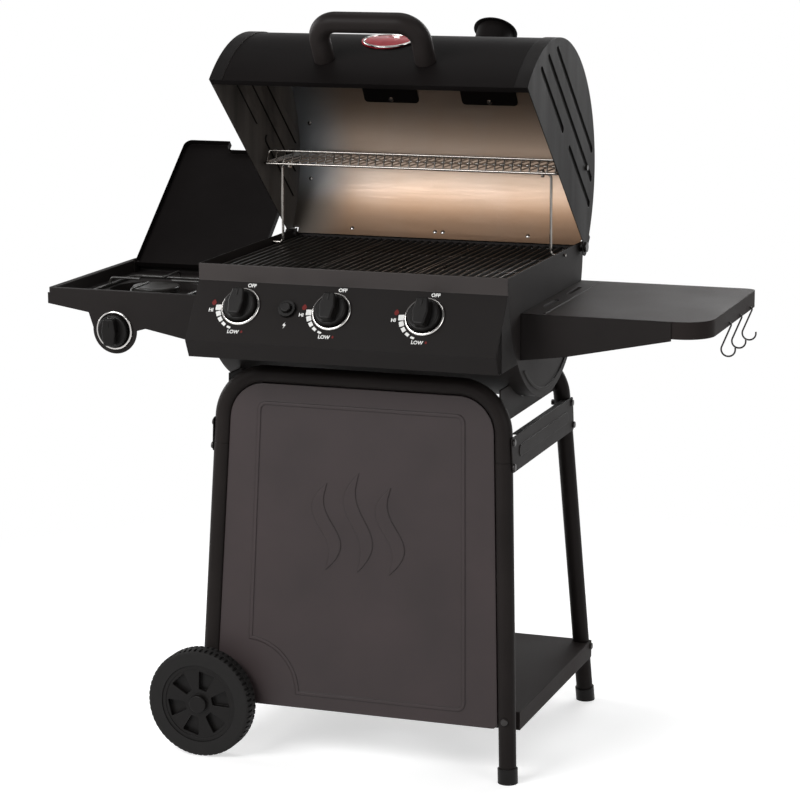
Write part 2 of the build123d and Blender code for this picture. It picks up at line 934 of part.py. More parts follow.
def burner_valves():
    """Three angled valves on the manifold and the straight one of the side burner."""
    valves = []
    for x in knob_xs:
        valve = on_face(x, knob_along) * valve_core()
        seat = face_point(x, knob_along, -manifold_back)
        rail = face_point(x, knob_along + manifold_drop, -manifold_back)
        reach = manifold_drop - manifold_d / 2 - fit
        inlet = rod(seat, seat + (rail - seat).normalized() * reach, valve_d / 2)
        spud_y = burner_start_y + spud_entry
        spud = rod((x, seat.Y, burner_z), (x, spud_y, burner_z), spud_d)
        valves.append(valve + inlet + spud)
    side = valve_core()
    depth = valve_back + valve_length + spud_entry
    side += Pos(0, 0, -depth) * Cylinder(spud_d / 2, depth, align=BASE)
    valves.append(side_face(side))
    return Compound(children=valves)


def gas_manifold():
    """Supply pipe with two straps to the panel and a threaded inlet that points down."""
    along = knob_along + manifold_drop
    left = face_point(manifold_left_x, along, -manifold_back)
    right = face_point(manifold_right_x, along, -manifold_back)
    block_end = right + Vector(manifold_d, 0, 0)
    elbow = right + Vector(manifold_d / 2, 0, 0)
    hex_top = elbow - Vector(0, 0, inlet_drop)
    thread_top = hex_top - Vector(0, 0, inlet_hex_h)
    thread_end = thread_top - Vector(0, 0, inlet_length)
    manifold = rod(left, block_end, manifold_d) + rod(elbow, hex_top, inlet_d)
    manifold += extrude(Pos(*thread_top) * RegularPolygon(inlet_hex / 2, 6), inlet_hex_h)
    manifold += rod(thread_top, thread_end, inlet_d)
    bore = manifold_d - 4 * manifold_wall
    manifold -= rod(left + Vector(manifold_wall, 0, 0), elbow, bore) + rod(elbow, thread_end, bore)
    reach = manifold_back - sheet
    for x in (left.X + strap_inset, right.X - strap_inset):
        strap = Box(manifold_strap, manifold_d / 2, reach, align=BASE)
        strap = on_face(x, along, -manifold_back) * strap
        manifold += strap - rod(left, right, manifold_d - 2 * manifold_wall)
    return manifold


def main_burners():
    """Tube burners, open at the front, closed at the rear."""
    burners = []
    for x in knob_xs:
        end_y = firebox_y + firebox_width_at(burner_z) - plate - burner_rear_gap
        burner = rod((x, burner_start_y, burner_z), (x, end_y, burner_z), burner_d)
        hollow = burner_d - 2 * burner_wall
        burner -= rod((x, burner_start_y, burner_z), (x, end_y - burner_wall, burner_z), hollow)
        burners.append(burner)
    return Compound(children=burners)


def igniter():
    """Igniter barrel in the panel and a spark electrode beside each burner."""
    barrel = Cylinder(igniter_d / 2, igniter_length + igniter_collar_h, align=BASE)
    barrel = Pos(0, 0, -igniter_length) * barrel
    barrel += Cylinder(igniter_collar_d / 2, igniter_collar_h, align=BASE)
    depth = button_length - button_proud + button_travel + running_gap
    well = Pos(0, 0, igniter_collar_h - depth) * Cylinder(button_d / 2 + fit, depth, align=BASE)
    pieces = [on_face(igniter_x, knob_along) * (barrel - well)]
    offset_x = burner_d / 2 + electrode_d / 2 + fit
    start_y = burner_start_y + electrode_back
    for x in knob_xs:
        start = Vector(x + offset_x, start_y, burner_z)
        pieces.append(rod(start, start + Vector(0, electrode_length, 0), electrode_d))
    return Compound(children=pieces)


def igniter_button():
    button = Pos(0, 0, igniter_collar_h + button_proud - button_length)
    button *= Cylinder(button_d / 2, button_length, align=BASE)
    button = fillet(button.edges().sort_by(Axis.Z)[-1], button_proud / 4)
    return on_face(igniter_x, knob_along) * button


# Inside the firebox


def grill_rails():
    """Two ledges under the grates and two bars under the heat tents."""
    rails = []
    top = grate_top_z - grate_height
    for end in (-1, 1):
        wall = firebox_width_at(top - ledge_height) - plate - running_gap
        edges = sorted((firebox_y + end * wall, firebox_y + end * (wall - ledge_width)))
        rails.append(block(-end_inner_x, end_inner_x, *edges, top - ledge_height, top))
        edges = sorted((firebox_y + end * tent_rail_y, firebox_y + end * (tent_rail_y - ledge_width)))
        rails.append(block(-end_inner_x, end_inner_x, *edges, tent_rail_z - tent_rail_height, tent_rail_z))
    return Compound(children=rails)


def grate_width():
    return (2 * (end_inner_x - grate_end_gap) - (grate_count - 1) * grate_gap) / grate_count


def cooking_grate(index):
    """Cast grate: bars from front to rear on two cross bars."""
    width = grate_width()
    left = -end_inner_x + grate_end_gap + index * (width + grate_gap)
    reach = firebox_width_at(grate_top_z - grate_height) - plate - 2 * running_gap
    low = grate_top_z - grate_height
    pitch = (width - grate_bar) / (grate_bars - 1)
    bar = outline(
        (-grate_bar / 2, low),
        (grate_bar / 2, low),
        (grate_bar / 4, grate_top_z),
        (-grate_bar / 4, grate_top_z),
    )
    grate = Part()
    for i in range(grate_bars):
        x = left + grate_bar / 2 + i * pitch
        grate += front_slab(Pos(x, 0) * bar, firebox_y - reach, firebox_y + reach)
    for i in range(grate_cross_bars):
        share = 2 * i / (grate_cross_bars - 1) - 1
        y = firebox_y + share * (reach - grate_bar)
        front = y - grate_bar / 2
        grate += block(left, left + width, front, front + grate_bar, low, grate_top_z - grate_bar / 2)
    return grate


def heat_tents():
    """Folded covers over the burners."""
    tents = []
    for x in knob_xs:
        half = tent_width / 2
        fold = [(x - half, tent_rail_z), (x, tent_rail_z + tent_rise), (x + half, tent_rail_z)]
        face = strip(list(reversed(fold)), sheet)
        face &= Pos(x, tent_rail_z) * Rectangle(2 * tent_width, tent_width, align=(Align.CENTER, Align.MIN))
        tents.append(front_slab(face, firebox_y - tent_reach, firebox_y + tent_reach))
    return Compound(children=tents)


cup_top_z = rim_z - firebox_depth - cup_drop


def grease_cup():
    """Thin can with a rolled lip."""
    cup = Pos(0, firebox_y, cup_top_z - cup_height) * Cylinder(cup_d / 2, cup_height, align=BASE)
    cup += Pos(0, firebox_y, cup_top_z - sheet) * Cylinder(cup_d / 2 + cup_lip, sheet, align=BASE)
    hollow = Cylinder(cup_d / 2 - sheet, cup_height, align=BASE)
    return cup - Pos(0, firebox_y, cup_top_z - cup_height + sheet) * hollow


def cup_hanger():
    """Ring under the cup's lip, hung from two feet on the firebox."""
    ring_top = cup_top_z - sheet
    inner = cup_d / 2 + running_gap
    wire_x = cup_d / 2 + cup_lip + hanger_wire / 2 + running_gap
    outer = wire_x + hanger_wire
    hanger = Pos(0, firebox_y, ring_top - sheet) * Cylinder(outer, sheet, align=BASE)
    hanger -= Pos(0, firebox_y, ring_top - sheet) * Cylinder(inner, sheet, align=BASE)
    foot_top = rim_z - firebox_depth - fit
    for side in (-1, 1):
        x = side * wire_x
        hanger += rod((x, firebox_y, ring_top - sheet), (x, firebox_y, foot_top), hanger_wire)
        foot = Box(hanger_foot, 2 * hanger_wire, sheet, align=(Align.CENTER, Align.CENTER, Align.MAX))
        hanger += Pos(x, firebox_y, foot_top) * foot
    return hanger


# Lid


def lid_point(deg, radius):
    """Place on the closed lid, at an angle up from the front and a distance from its middle."""
    angle = math.radians(deg)
    return lid_centre_y - radius * math.cos(angle), lid_centre_z + radius * math.sin(angle)


def lid_plane(deg, x=0.0, radius=0.0):
    """Plane whose Z runs straight out of the closed lid at an angle up from the front."""
    y, z = lid_point(deg, radius)
    out_y, out_z = lid_point(deg, radius + 1)
    return Plane(origin=(x, y, z), x_dir=(1, 0, 0), z_dir=(0, out_y - y, out_z - z))


def lid_drum(radius):
    """Full round bar of the lid's curve, for cutting feet to it."""
    reach = 2 * lid_half
    return rod((-reach, lid_centre_y, lid_centre_z), (reach, lid_centre_y, lid_centre_z), 2 * radius)


def lid_section(outer, inner, front_z, rear_z):
    """Bent strip of the lid's curve, in Y and Z."""
    reach = 2 * lid_r
    front = Pos(lid_centre_y, front_z) * Rectangle(reach, reach, align=(Align.MAX, Align.MIN))
    rear = Pos(lid_centre_y, rear_z) * Rectangle(reach, reach, align=(Align.MIN, Align.MIN))
    ring = Pos(lid_centre_y, lid_centre_z) * (Circle(outer) - Circle(inner))
    return ring & (front + rear)


gauge_plane = lid_plane(gauge_deg, 0, lid_r)


def lid_openings(part):
    """Holes for the gauge's stem and the smokestack."""
    part -= gauge_plane * Cylinder(gauge_stem_d / 2 + running_gap, gauge_stem)
    bore = stack_d / 2 - stack_wall
    return part - Pos(stack_x, lid_centre_y, lid_centre_z) * Cylinder(bore, 2 * lid_r, align=BASE)


def lid_sheet(outer, inner, front_z):
    """Bent sheet of the drum; between the hinges its rear edge tucks into the firebox."""
    half = lid_inner_x - fit
    tuck_half = end_inner_x - tuck_end_gap
    bent = side_slab(lid_section(outer, inner, front_z, lid_rear_z), -half, half)
    return bent + side_slab(lid_section(outer, inner, front_z, lid_tuck_z), -tuck_half, tuck_half)


def lid_shell():
    half = lid_inner_x - fit
    shell = lid_sheet(lid_r, lid_r - sheet, lid_rim_z)
    front_y = lid_centre_y - math.sqrt((lid_r - sheet / 2) ** 2 - (lid_rim_z - lid_centre_z) ** 2)
    shell += block(-half, half, front_y, front_y + lid_lip, lid_rim_z, lid_rim_z + sheet)
    return lid_place(lid_openings(shell))


def lid_liner():
    """Bright sheet inside the drum."""
    outer = lid_r - sheet - fit
    return lid_place(lid_openings(lid_sheet(outer, outer - liner, lid_rim_z + sheet + fit)))


def groove_bars(grow=0.0):
    """Outlines of the lid end's grooves, level when it is shut, the lowest one broken in the middle."""
    bars = []
    width = groove_width + 2 * grow
    for i in range(groove_count):
        z = groove_low_z + i * groove_pitch
        reach = math.sqrt(lid_r**2 - (z - lid_centre_z) ** 2) - groove_margin
        if i == 0:
            half = (reach - groove_margin) / 2
            for side in (-1, 1):
                place = Pos(lid_centre_y + side * (reach - half), z)
                bars.append(place * SlotOverall(2 * (half + grow), width))
        else:
            bars.append(Pos(lid_centre_y, z) * SlotOverall(2 * (reach + grow), width))
    return bars


def lid_end():
    """Right-hand cap: plate with pressed grooves, an ear for the hinge and a flange round the drum."""
    outer = lid_r + fit + sheet
    reach = 2 * lid_r
    half_plane = Pos(lid_centre_y, lid_rim_z) * Rectangle(2 * reach, reach, align=(Align.CENTER, Align.MIN))
    face = (Pos(lid_centre_y, lid_centre_z) * Circle(outer)) & half_plane
    face += Pos(hinge_y, hinge_z) * Circle(ear_r)
    face += Pos(hinge_y, hinge_z) * Rectangle(2 * ear_r, 2 * ear_r, align=(Align.CENTER, Align.MIN))
    cap = side_slab(face, lid_inner_x, lid_half)
    wrap = lid_section(outer, lid_r + fit, lid_rim_z, lid_rear_z)
    cap += side_slab(wrap, lid_half - lid_wrap, lid_inner_x)
    for bar in groove_bars(sheet):
        cap += side_slab(bar, lid_inner_x - groove_depth, lid_inner_x)
    for bar in groove_bars():
        cap -= side_slab(bar, lid_half - groove_depth, lid_half)
    cap = lid_place(cap)
    cap -= rod((0, hinge_y, hinge_z), (reach, hinge_y, hinge_z), hinge_pin_d + 2 * fit)
    return cap - rod((0, hinge_y, rack_top_z), (reach, hinge_y, rack_top_z), rack_wire + 2 * running_gap)


def lid_handle():
    """Bent round bar standing off the front of the lid."""
    out = lid_plane(handle_deg).z_dir
    plane = Plane(origin=(0, lid_centre_y, lid_centre_z), x_dir=(1, 0, 0), z_dir=Vector(1, 0, 0).cross(out))
    foot = lid_r - handle_d / 2
    top = lid_r + handle_stand
    points = [(-handle_half, foot), (-handle_half, top), (handle_half, top), (handle_half, foot)]
    handle = pipe(plane * FilletPolyline(*points, radius=handle_bend_r), handle_d, tube_wall)
    return lid_place(handle - lid_drum(lid_r + fit))


def lid_badge():
    """Blank oval plate bent to the lid."""
    badge = lid_plane(badge_deg) * extrude(Ellipse(badge_width / 2, badge_height / 2), 2 * lid_r)
    badge &= lid_drum(lid_r + fit + badge_thick)
    return lid_place(badge - lid_drum(lid_r + fit))


def heat_gauge():
    """Dial case with a raised rim and a probe through the lid."""
    case = gauge_plane * Pos(0, 0, -gauge_h) * Cylinder(gauge_d / 2, 2 * gauge_h, align=BASE)
    dial = Cylinder(gauge_d / 2 - gauge_rim, gauge_recess, align=BASE)
    case -= gauge_plane * Pos(0, 0, gauge_h - gauge_recess) * dial
    case -= lid_drum(lid_r + fit)
    probe = Cylinder(gauge_stem_d / 2, gauge_stem + gauge_h / 2, align=BASE)
    return lid_place(case + gauge_plane * Pos(0, 0, -gauge_stem) * probe)


stack_top_z = lid_centre_z + lid_r + stack_height
damper_pin_y = lid_centre_y + stack_d / 2 - stack_wall - damper_pin_inset + damper_pin_d / 2


def smokestack():
    """Short chimney on a saddle, with an inside lug and pin for its damper."""
    at = Pos(stack_x, lid_centre_y, lid_centre_z)
    height = stack_top_z - lid_centre_z
    drum = lid_drum(lid_r + fit)
    saddle = (at * Cylinder(stack_foot_d / 2, height, align=BASE)) & lid_drum(lid_r + fit + sheet)
    stack = saddle + at * Cylinder(stack_d / 2, height, align=BASE) - drum
    stack -= at * Cylinder(stack_d / 2 - stack_wall, height, align=BASE)
    lug_y = lid_centre_y + stack_d / 2 - stack_wall / 2
    half = damper_lug / 2
    stack += block(
        stack_x - half, stack_x + half, damper_pin_y - half, lug_y, stack_top_z - damper_lug, stack_top_z
    )
    pin_top = stack_top_z + damper_thick + 2 * fit
    stack += rod((stack_x, damper_pin_y, stack_top_z - half), (stack_x, damper_pin_y, pin_top), damper_pin_d)
    head = Cylinder(damper_head_d / 2, damper_head_h, align=BASE)
    head = fillet(head.edges().sort_by(Axis.Z)[-1], damper_head_h / 2)
    return lid_place(stack + Pos(stack_x, damper_pin_y, pin_top) * head)


def stack_damper():
    """Round cover that turns aside on its pin."""
    damper = Pos(stack_x, lid_centre_y, stack_top_z + fit) * Cylinder(damper_d / 2, damper_thick, align=BASE)
    hole = Cylinder(damper_pin_d / 2 + fit, 2 * damper_lug)
    return lid_place(damper - Pos(stack_x, damper_pin_y, stack_top_z) * hole)


def hinge_pin():
    """Right-hand lid pin: riveted end inside the firebox, collar between, head outside the lid."""
    nut_start = end_inner_x - fit - nut_h
    head_start = lid_half + fit
    pin = rod((nut_start, hinge_y, hinge_z), (head_start, hinge_y, hinge_z), hinge_pin_d)
    pin += rod((nut_start, hinge_y, hinge_z), (end_inner_x - fit, hinge_y, hinge_z), bolt_head_d)
    collar_end = lid_inner_x - running_gap
    pin += rod((firebox_half + fit, hinge_y, hinge_z), (collar_end, hinge_y, hinge_z), hinge_head_d)
    head_end = head_start + hinge_head_h
    return pin + rod((head_start, hinge_y, hinge_z), (head_end, hinge_y, hinge_z), hinge_head_d)


# Warming rack


def rack_fence():
    """Low leaning rail along the front of the rack, on short wires."""
    end_x = (rack_wires - 1) / 2 * rack_pitch
    low = Vector(0, rack_front_y, rack_frame_z)
    top = low + Vector(0, fence_lean, fence_rise)
    out = Vector(end_x, 0, 0)
    rail = FilletPolyline(low - out, top - out, top + out, low + out, radius=fence_bend)
    fence = [pipe(rail, fence_rail)]
    for i in range(1, rack_wires - 1):
        x = Vector(i * rack_pitch - end_x, 0, 0)
        fence.append(rod(low + x, top + x, fence_wire))
    return fence


def warming_rack():
    """Wire rack with a front fence, on a cross rod whose capped ends turn in the lid."""
    middle = (rack_front_y + rack_rear_y) / 2
    depth = rack_rear_y - rack_front_y
    half = depth / 2
    corners = [(-rack_half, -half), (rack_half, -half), (rack_half, half), (-rack_half, half)]
    loop = Pos(0, middle, rack_frame_z) * FilletPolyline(*corners, radius=rack_corner_r, close=True)
    rack = pipe(loop, rack_wire)
    rack += rod((-rack_pin_end, hinge_y, rack_top_z), (rack_pin_end, hinge_y, rack_top_z), rack_wire)
    cap_start = lid_half + running_gap
    for side in (-1, 1):
        start = (side * cap_start, hinge_y, rack_top_z)
        rack += rod(start, (side * rack_pin_end, hinge_y, rack_top_z), rack_cap_d)
    wire_z = rack_frame_z + rack_wire / 2 + rack_thin / 2 - fit
    wires = rack_fence()
    for i in range(rack_wires):
        x = (i - (rack_wires - 1) / 2) * rack_pitch
        wires.append(rod((x, rack_front_y, wire_z), (x, rack_rear_y, wire_z), rack_thin))
    for side in (-1, 1):
        x = side * rack_lug_x
        lug = Pos(rack_leg_y, rack_top_z) * RectangleRounded(rack_lug_width, rack_lug_width, rack_thin)
        eye = Pos(rack_leg_y, rack_top_z) * Circle(rack_wire / 2 + rack_eye_gap)
        neck = Pos(rack_leg_y, rack_top_z) * Rectangle(
            rack_lug_width / 2, wire_z - rack_top_z, align=(Align.CENTER, Align.MIN)
        )
        wires.append(side_slab(lug + neck - eye, x - rack_lug_thick / 2, x + rack_lug_thick / 2))
    return rack + wires


def rack_legs():
    """Two bent wires that swing on the firebox ends."""
    inner_x = rack_lug_x - rack_lug_thick - rack_wire
    points = [
        (rack_foot_x, rack_leg_y, hinge_z),
        (rack_leg_x, rack_leg_y, hinge_z),
        (rack_leg_x, rack_leg_y, rack_top_z),
        (inner_x, rack_leg_y, rack_top_z),
    ]
    leg = pipe(FilletPolyline(*points, radius=rack_leg_bend), rack_wire)
    return Compound(children=list(both_sides(leg)))


# Shelves


def shelf_pan(x_low, x_high, inset, z_low, z_high, radii):
    """Rounded block of a shelf's outline, drawn in by an inset."""
    points = [
        (x_low + inset, side_front_y + inset),
        (x_high - inset, side_front_y + inset),
        (x_high - inset, side_rear_y - inset),
        (x_low + inset, side_rear_y - inset),
    ]
    radii = [max(r - inset, sheet) for r in radii]
    return slab(rounded_outline(points, radii), z_low, z_high)


shelf_inner_x = firebox_half + fit


def left_apron():
    """Front of the left shelf, with a round lobe for the knob."""
    lobe_left = side_knob_x - lobe_r
    lobe_right = side_knob_x + lobe_r
    low = side_z - side_skirt
    points = [
        (left_outer_x, side_z - left_corner_r),
        (left_outer_x, low + sheet),
        (lobe_left - left_corner_r, low - left_lip),
        (lobe_left + sheet, side_knob_z),
        (lobe_right - sheet, side_knob_z),
        (lobe_right + 2 * left_corner_r, apron_left_z + apron_step),
        (-shelf_inner_x, apron_left_z - left_lip),
        (-shelf_inner_x, side_z - left_corner_r),
    ]
    face = outline(*points) + Pos(side_knob_x, side_knob_z) * Circle(lobe_r)
    return front_slab(face, side_front_y, side_front_y + sheet)


def left_shelf():
    """Pressed pan with a raised lip, a burner bowl, a front apron and hinge ears."""
    left, right = left_outer_x, -shelf_inner_x
    radii = [left_corner_r] * 4
    low = side_z - side_skirt
    shelf = shelf_pan(left, right, 0, low, side_z, radii)
    under = shelf_pan(left, right, sheet, low, side_z - sheet, radii)
    core = shelf_pan(left, right, left_lip - sheet, deck_z - sheet, side_z, radii)
    shelf -= under - core
    shelf -= shelf_pan(left, right, left_lip, deck_z, side_z, radii)
    bowl_at = Pos(side_burner_x, side_burner_y, deck_z - bowl_depth)
    shelf += bowl_at * Cylinder(bowl_d / 2 + sheet, bowl_depth, align=BASE)
    shelf -= bowl_at * Pos(0, 0, sheet) * Cylinder(bowl_d / 2, bowl_depth, align=BASE)
    shelf -= bowl_at * Cylinder(side_pipe_d / 2 + fit, bowl_depth, align=BASE)
    shelf += left_apron()
    hole = Cylinder(stem_hole_d / 2, 4 * valve_back)
    shelf -= side_face(hole)
    ear_front = side_lid_pivot_y - side_ear_width / 2
    ear_rear = side_lid_pivot_y + side_ear_width / 2
    ear_top = side_lid_pivot_z + side_ear_rise
    for x in side_ear_xs():
        shelf += block(x, x + side_ear, ear_front, ear_rear, deck_z - sheet, ear_top)
    return shelf - [rod(*ends, side_pin_d + 2 * fit) for ends in side_pin_ends()]


def side_ear_xs():
    """Left faces of the two upright ears beside the side burner lid."""
    return side_lid_left_x - side_ear_gap - side_ear, side_lid_right_x + side_ear_gap


def side_pin_ends():
    """Ends of the two pins that the side burner lid turns on, outer end first."""
    left, right = side_ear_xs()
    length = side_ear + side_ear_gap + 4 * sheet
    left_x = (left, left + length)
    right_x = (right + side_ear + running_gap, right + side_ear - length)
    return [[(x, side_lid_pivot_y, side_lid_pivot_z) for x in pair] for pair in (left_x, right_x)]


def hinge_pins():
    """Pins of both lids; the left pin of the side burner lid ends against the shelf's rim."""
    left, right = [rod(*ends, side_pin_d) for ends in side_pin_ends()]
    start = Vector(side_pin_ends()[1][0])
    right += rod(start, start + Vector(2 * sheet, 0, 0), 2 * side_pin_d)
    return Compound(children=[*both_sides(hinge_pin()), left, right])


def side_burner():
    """Burner head on its bent supply pipe."""
    start_y = side_front_y + valve_back + valve_length
    top = deck_z + fit
    points = [
        (side_knob_x, start_y + running_gap, side_knob_z),
        (side_burner_x, side_burner_y, side_knob_z),
        (side_burner_x, side_burner_y, top),
    ]
    burner = pipe(FilletPolyline(*points, radius=side_pipe_bend), side_pipe_d, burner_wall)
    at = Pos(side_burner_x, side_burner_y, top - side_head_h / 2)
    head = at * Cylinder(side_head_d / 2, side_head_h, align=BASE)
    head = fillet(head.edges().sort_by(Axis.Z)[-1], side_head_h / 4)
    slots = []
    slot = Box(2 * side_port_depth, side_port_width, side_head_h / 4, align=BASE)
    slot = Pos(side_head_d / 2, 0, side_head_h / 4) * slot
    for i in range(side_ports):
        slots.append(at * Rot(0, 0, i * 360 / side_ports) * slot)
    return burner + (head - slots)


def side_burner_grate():
    """Wire pan support with four raised fingers."""
    at = Pos(side_burner_x, side_burner_y, deck_z + pan_wire / 2 + fit)
    corners = [
        (-pan_half_x, -pan_half_y),
        (pan_half_x, -pan_half_y),
        (pan_half_x, pan_half_y),
        (-pan_half_x, pan_half_y),
    ]
    grate = pipe(FilletPolyline(*corners, radius=pan_corner_r, close=True), pan_wire)
    rise = side_z - pan_top_gap - deck_z - pan_wire - fit
    for x, y in ((pan_half_x, 0), (-pan_half_x, 0), (0, pan_half_y), (0, -pan_half_y)):
        out = Vector(x, y, 0).normalized()
        points = [Vector(x, y, 0), Vector(x, y, rise), out * pan_finger_end + Vector(0, 0, rise)]
        grate += pipe(FilletPolyline(*points, radius=pan_finger_bend), pan_finger_wire)
    return at * grate


def side_burner_lid():
    """Shallow cover with a finger notch, opened on its rear pins."""
    top = side_lid_pivot_z + side_lid_top
    front = side_lid_pivot_y - side_lid_reach
    rear = side_lid_pivot_y + side_lid_tail
    points = [
        (side_lid_left_x, front),
        (side_lid_right_x, front),
        (side_lid_right_x, rear),
        (side_lid_left_x, rear),
    ]
    face = rounded_outline(points, [side_lid_corner_r, side_lid_corner_r, sheet, sheet])
    middle = (side_lid_left_x + side_lid_right_x) / 2
    notch = Pos(middle, front) * RectangleRounded(notch_width, 2 * notch_depth, notch_depth / 2)
    face -= notch
    lid = slab(face, top - side_lid_wall, top)
    lid -= slab(offset(face, -sheet), top - side_lid_wall, top - sheet)
    lid -= [rod(*ends, side_pin_d + 2 * fit) for ends in side_pin_ends()]
    pivot = Axis((0, side_lid_pivot_y, side_lid_pivot_z), (1, 0, 0))
    return lid.rotate(pivot, -side_lid_open_deg)


def right_shelf():
    """Tray with a turned-down rim, a raised ridge and two slots beside the firebox."""
    left, right = shelf_inner_x, right_outer_x
    radii = [sheet, right_front_r, right_rear_r, sheet]
    low = side_z - side_skirt
    shelf = shelf_pan(left, right, 0, low, side_z, radii)
    shelf -= shelf_pan(left, right, sheet, low, side_z - sheet, radii)
    ridge = Box(right_ridge, side_rear_y - side_front_y - 2 * left_lip, right_ridge_h, align=BASE)
    shelf += Pos(left + right_strip, (side_front_y + side_rear_y) / 2, side_z) * ridge
    middle_y = (side_front_y + side_rear_y) / 2
    for step in (-0.5, 0.5):
        slot = Rot(0, 0, 90) * SlotOverall(slot_length, slot_width)
        shelf -= slab(Pos(left + right_strip / 2, middle_y + step * slot_pitch) * slot, low, side_z + sheet)
    for y in hook_ys:
        shelf -= rod((right - left_lip, y, hook_pivot_z), (right + left_lip, y, hook_pivot_z), hook_hole_d)
    return shelf


def right_shelf_bracket():
    """Tapered front of the right shelf, flanged against the firebox end."""
    left = shelf_inner_x
    points = [
        (left, bracket_low_z),
        (left + bracket_knee, bracket_knee_z),
        (left + bracket_reach, bracket_tip_z),
        (left + bracket_reach, side_z - fit),
        (left, side_z - fit),
    ]
    front = side_front_y - fit - sheet
    bracket = front_slab(outline(*points), front, front + sheet)
    low = side_z - side_skirt - fit
    return bracket + block(left, left + sheet, front, front + bracket_flange, bracket_low_z, low)


# Hooks

hook_ys = [hook_first_y + i * hook_pitch for i in range(hook_count)]
hook_pivot_x = right_outer_x - sheet / 2
hook_pivot_z = side_z - side_skirt + hook_hole_up


def tool_hook(y):
    """Bent wire through the rim of the right shelf, with an open bowl below."""
    inside = hook_pivot_x - hook_inside
    outside = hook_pivot_x + hook_outside
    low = hook_pivot_z - hook_drop
    points = [
        (inside, y, hook_pivot_z - hook_tail),
        (inside, y, hook_pivot_z),
        (outside, y, hook_pivot_z),
        (outside - hook_lean, y, low),
        (outside - hook_lean + hook_bowl, y, low),
        (outside - hook_lean + hook_bowl, y, low + hook_rise),
    ]
    radii = [hook_small_r, hook_small_r, hook_bowl_r, hook_bowl_r]
    return pipe(FilletPolyline(*points, radius=radii), hook_wire)


def make_pieces():
    """Every piece by the name of its node, in the frame of the feet."""
    front_y, rear_y = wheel_fronts()
    rim = wheel_rim()
    tyre = wheel_tyre()
    brace_right, brace_left = both_sides(side_brace())
    end_right, end_left = both_sides(firebox_end())
    cap_right, cap_left = both_sides(lid_end())
    pieces = {
        "front_upper_frame": upper_frame(-1),
        "rear_upper_frame": upper_frame(1),
        "front_left_leg": lower_leg(-1, -1),
        "front_right_leg": lower_leg(1, -1),
        "rear_left_leg": lower_leg(-1, 1),
        "rear_right_leg": lower_leg(1, 1),
        "foot_caps": foot_caps(),
        "wheel_axle": wheel_axle(),
        "front_wheel_rim": along_axle(rim, front_y),
        "front_wheel_tyre": along_axle(tyre, front_y),
        "rear_wheel_rim": along_axle(Rot(180, 0, 0) * rim, rear_y),
        "rear_wheel_tyre": along_axle(Rot(180, 0, 0) * tyre, rear_y),
        "front_panel": front_panel(),
        "bottom_shelf": bottom_shelf(),
        "left_brace": brace_left,
        "right_brace": brace_right,
        "firebox_cradles": cradles(),
        "frame_bolts": frame_bolts(),
        "firebox_shell": firebox_shell(),
        "firebox_left_end": end_left,
        "firebox_right_end": end_right,
        "control_panel": control_panel(),
        "knob_bezels": knob_bezels(),
        "gas_manifold": gas_manifold(),
        "burner_valves": burner_valves(),
        "main_burners": main_burners(),
        "heat_tents": heat_tents(),
        "grill_rails": grill_rails(),
        "igniter": igniter(),
        "igniter_button": igniter_button(),
        "grease_cup": grease_cup(),
        "cup_hanger": cup_hanger(),
        "hinge_pins": hinge_pins(),
        "lid_shell": lid_shell(),
        "lid_liner": lid_liner(),
        "lid_left_end": cap_left,
        "lid_right_end": cap_right,
        "lid_handle": lid_handle(),
        "lid_badge": lid_badge(),
        "heat_gauge": heat_gauge(),
        "smokestack": smokestack(),
        "stack_damper": stack_damper(),
        "warming_rack": warming_rack(),
        "rack_legs": rack_legs(),
        "left_shelf": left_shelf(),
        "side_burner": side_burner(),
        "side_burner_grate": side_burner_grate(),
        "side_burner_lid": side_burner_lid(),
        "right_shelf": right_shelf(),
        "right_shelf_bracket": right_shelf_bracket(),
        "side_knob": side_face(knob()),
    }
    for name, x in zip(("left_knob", "centre_knob", "right_knob"), knob_xs):
        pieces[name] = on_face(x, knob_along) * knob()
    for i in range(grate_count):
        pieces[f"cooking_grate_{i + 1}"] = cooking_grate(i)
    for i, y in enumerate(hook_ys):
        pieces[f"tool_hook_{i + 1}"] = tool_hook(y)
    return pieces


pieces = make_pieces()
whole = Compound(children=[Compound(children=piece.solids()) for piece in pieces.values()]).bounding_box()
origin_shift = Vector(-(whole.min.X + whole.max.X) / 2, -(whole.min.Y + whole.max.Y) / 2, -whole.min.Z)

os.makedirs("parts", exist_ok=True)
for name, piece in pieces.items():
    moved = Compound(children=[Pos(*origin_shift) * solid for solid in piece.solids()])
    export_step(moved, f"parts/{name}.step")
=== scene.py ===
import json
import math

import bmesh
import bpy
from bpy.props import FloatProperty, FloatVectorProperty, IntProperty, PointerProperty
from mathutils import Matrix, Vector


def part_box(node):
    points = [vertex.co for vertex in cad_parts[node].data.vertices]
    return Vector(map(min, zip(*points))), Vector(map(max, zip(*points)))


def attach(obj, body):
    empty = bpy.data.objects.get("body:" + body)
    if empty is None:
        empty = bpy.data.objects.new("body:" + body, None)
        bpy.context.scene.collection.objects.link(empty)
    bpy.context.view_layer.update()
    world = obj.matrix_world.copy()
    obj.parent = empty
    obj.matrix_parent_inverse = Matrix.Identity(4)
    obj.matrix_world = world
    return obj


bl_info = {
    "name": "Barbecue Grill Dressing",
    "version": (1, 0, 0),
    "blender": (4, 5, 0),
    "location": "View3D > Sidebar > Grill",
    "description": "Finishes, dial marks and small fittings for a gas barbecue grill",
    "category": "Object",
}

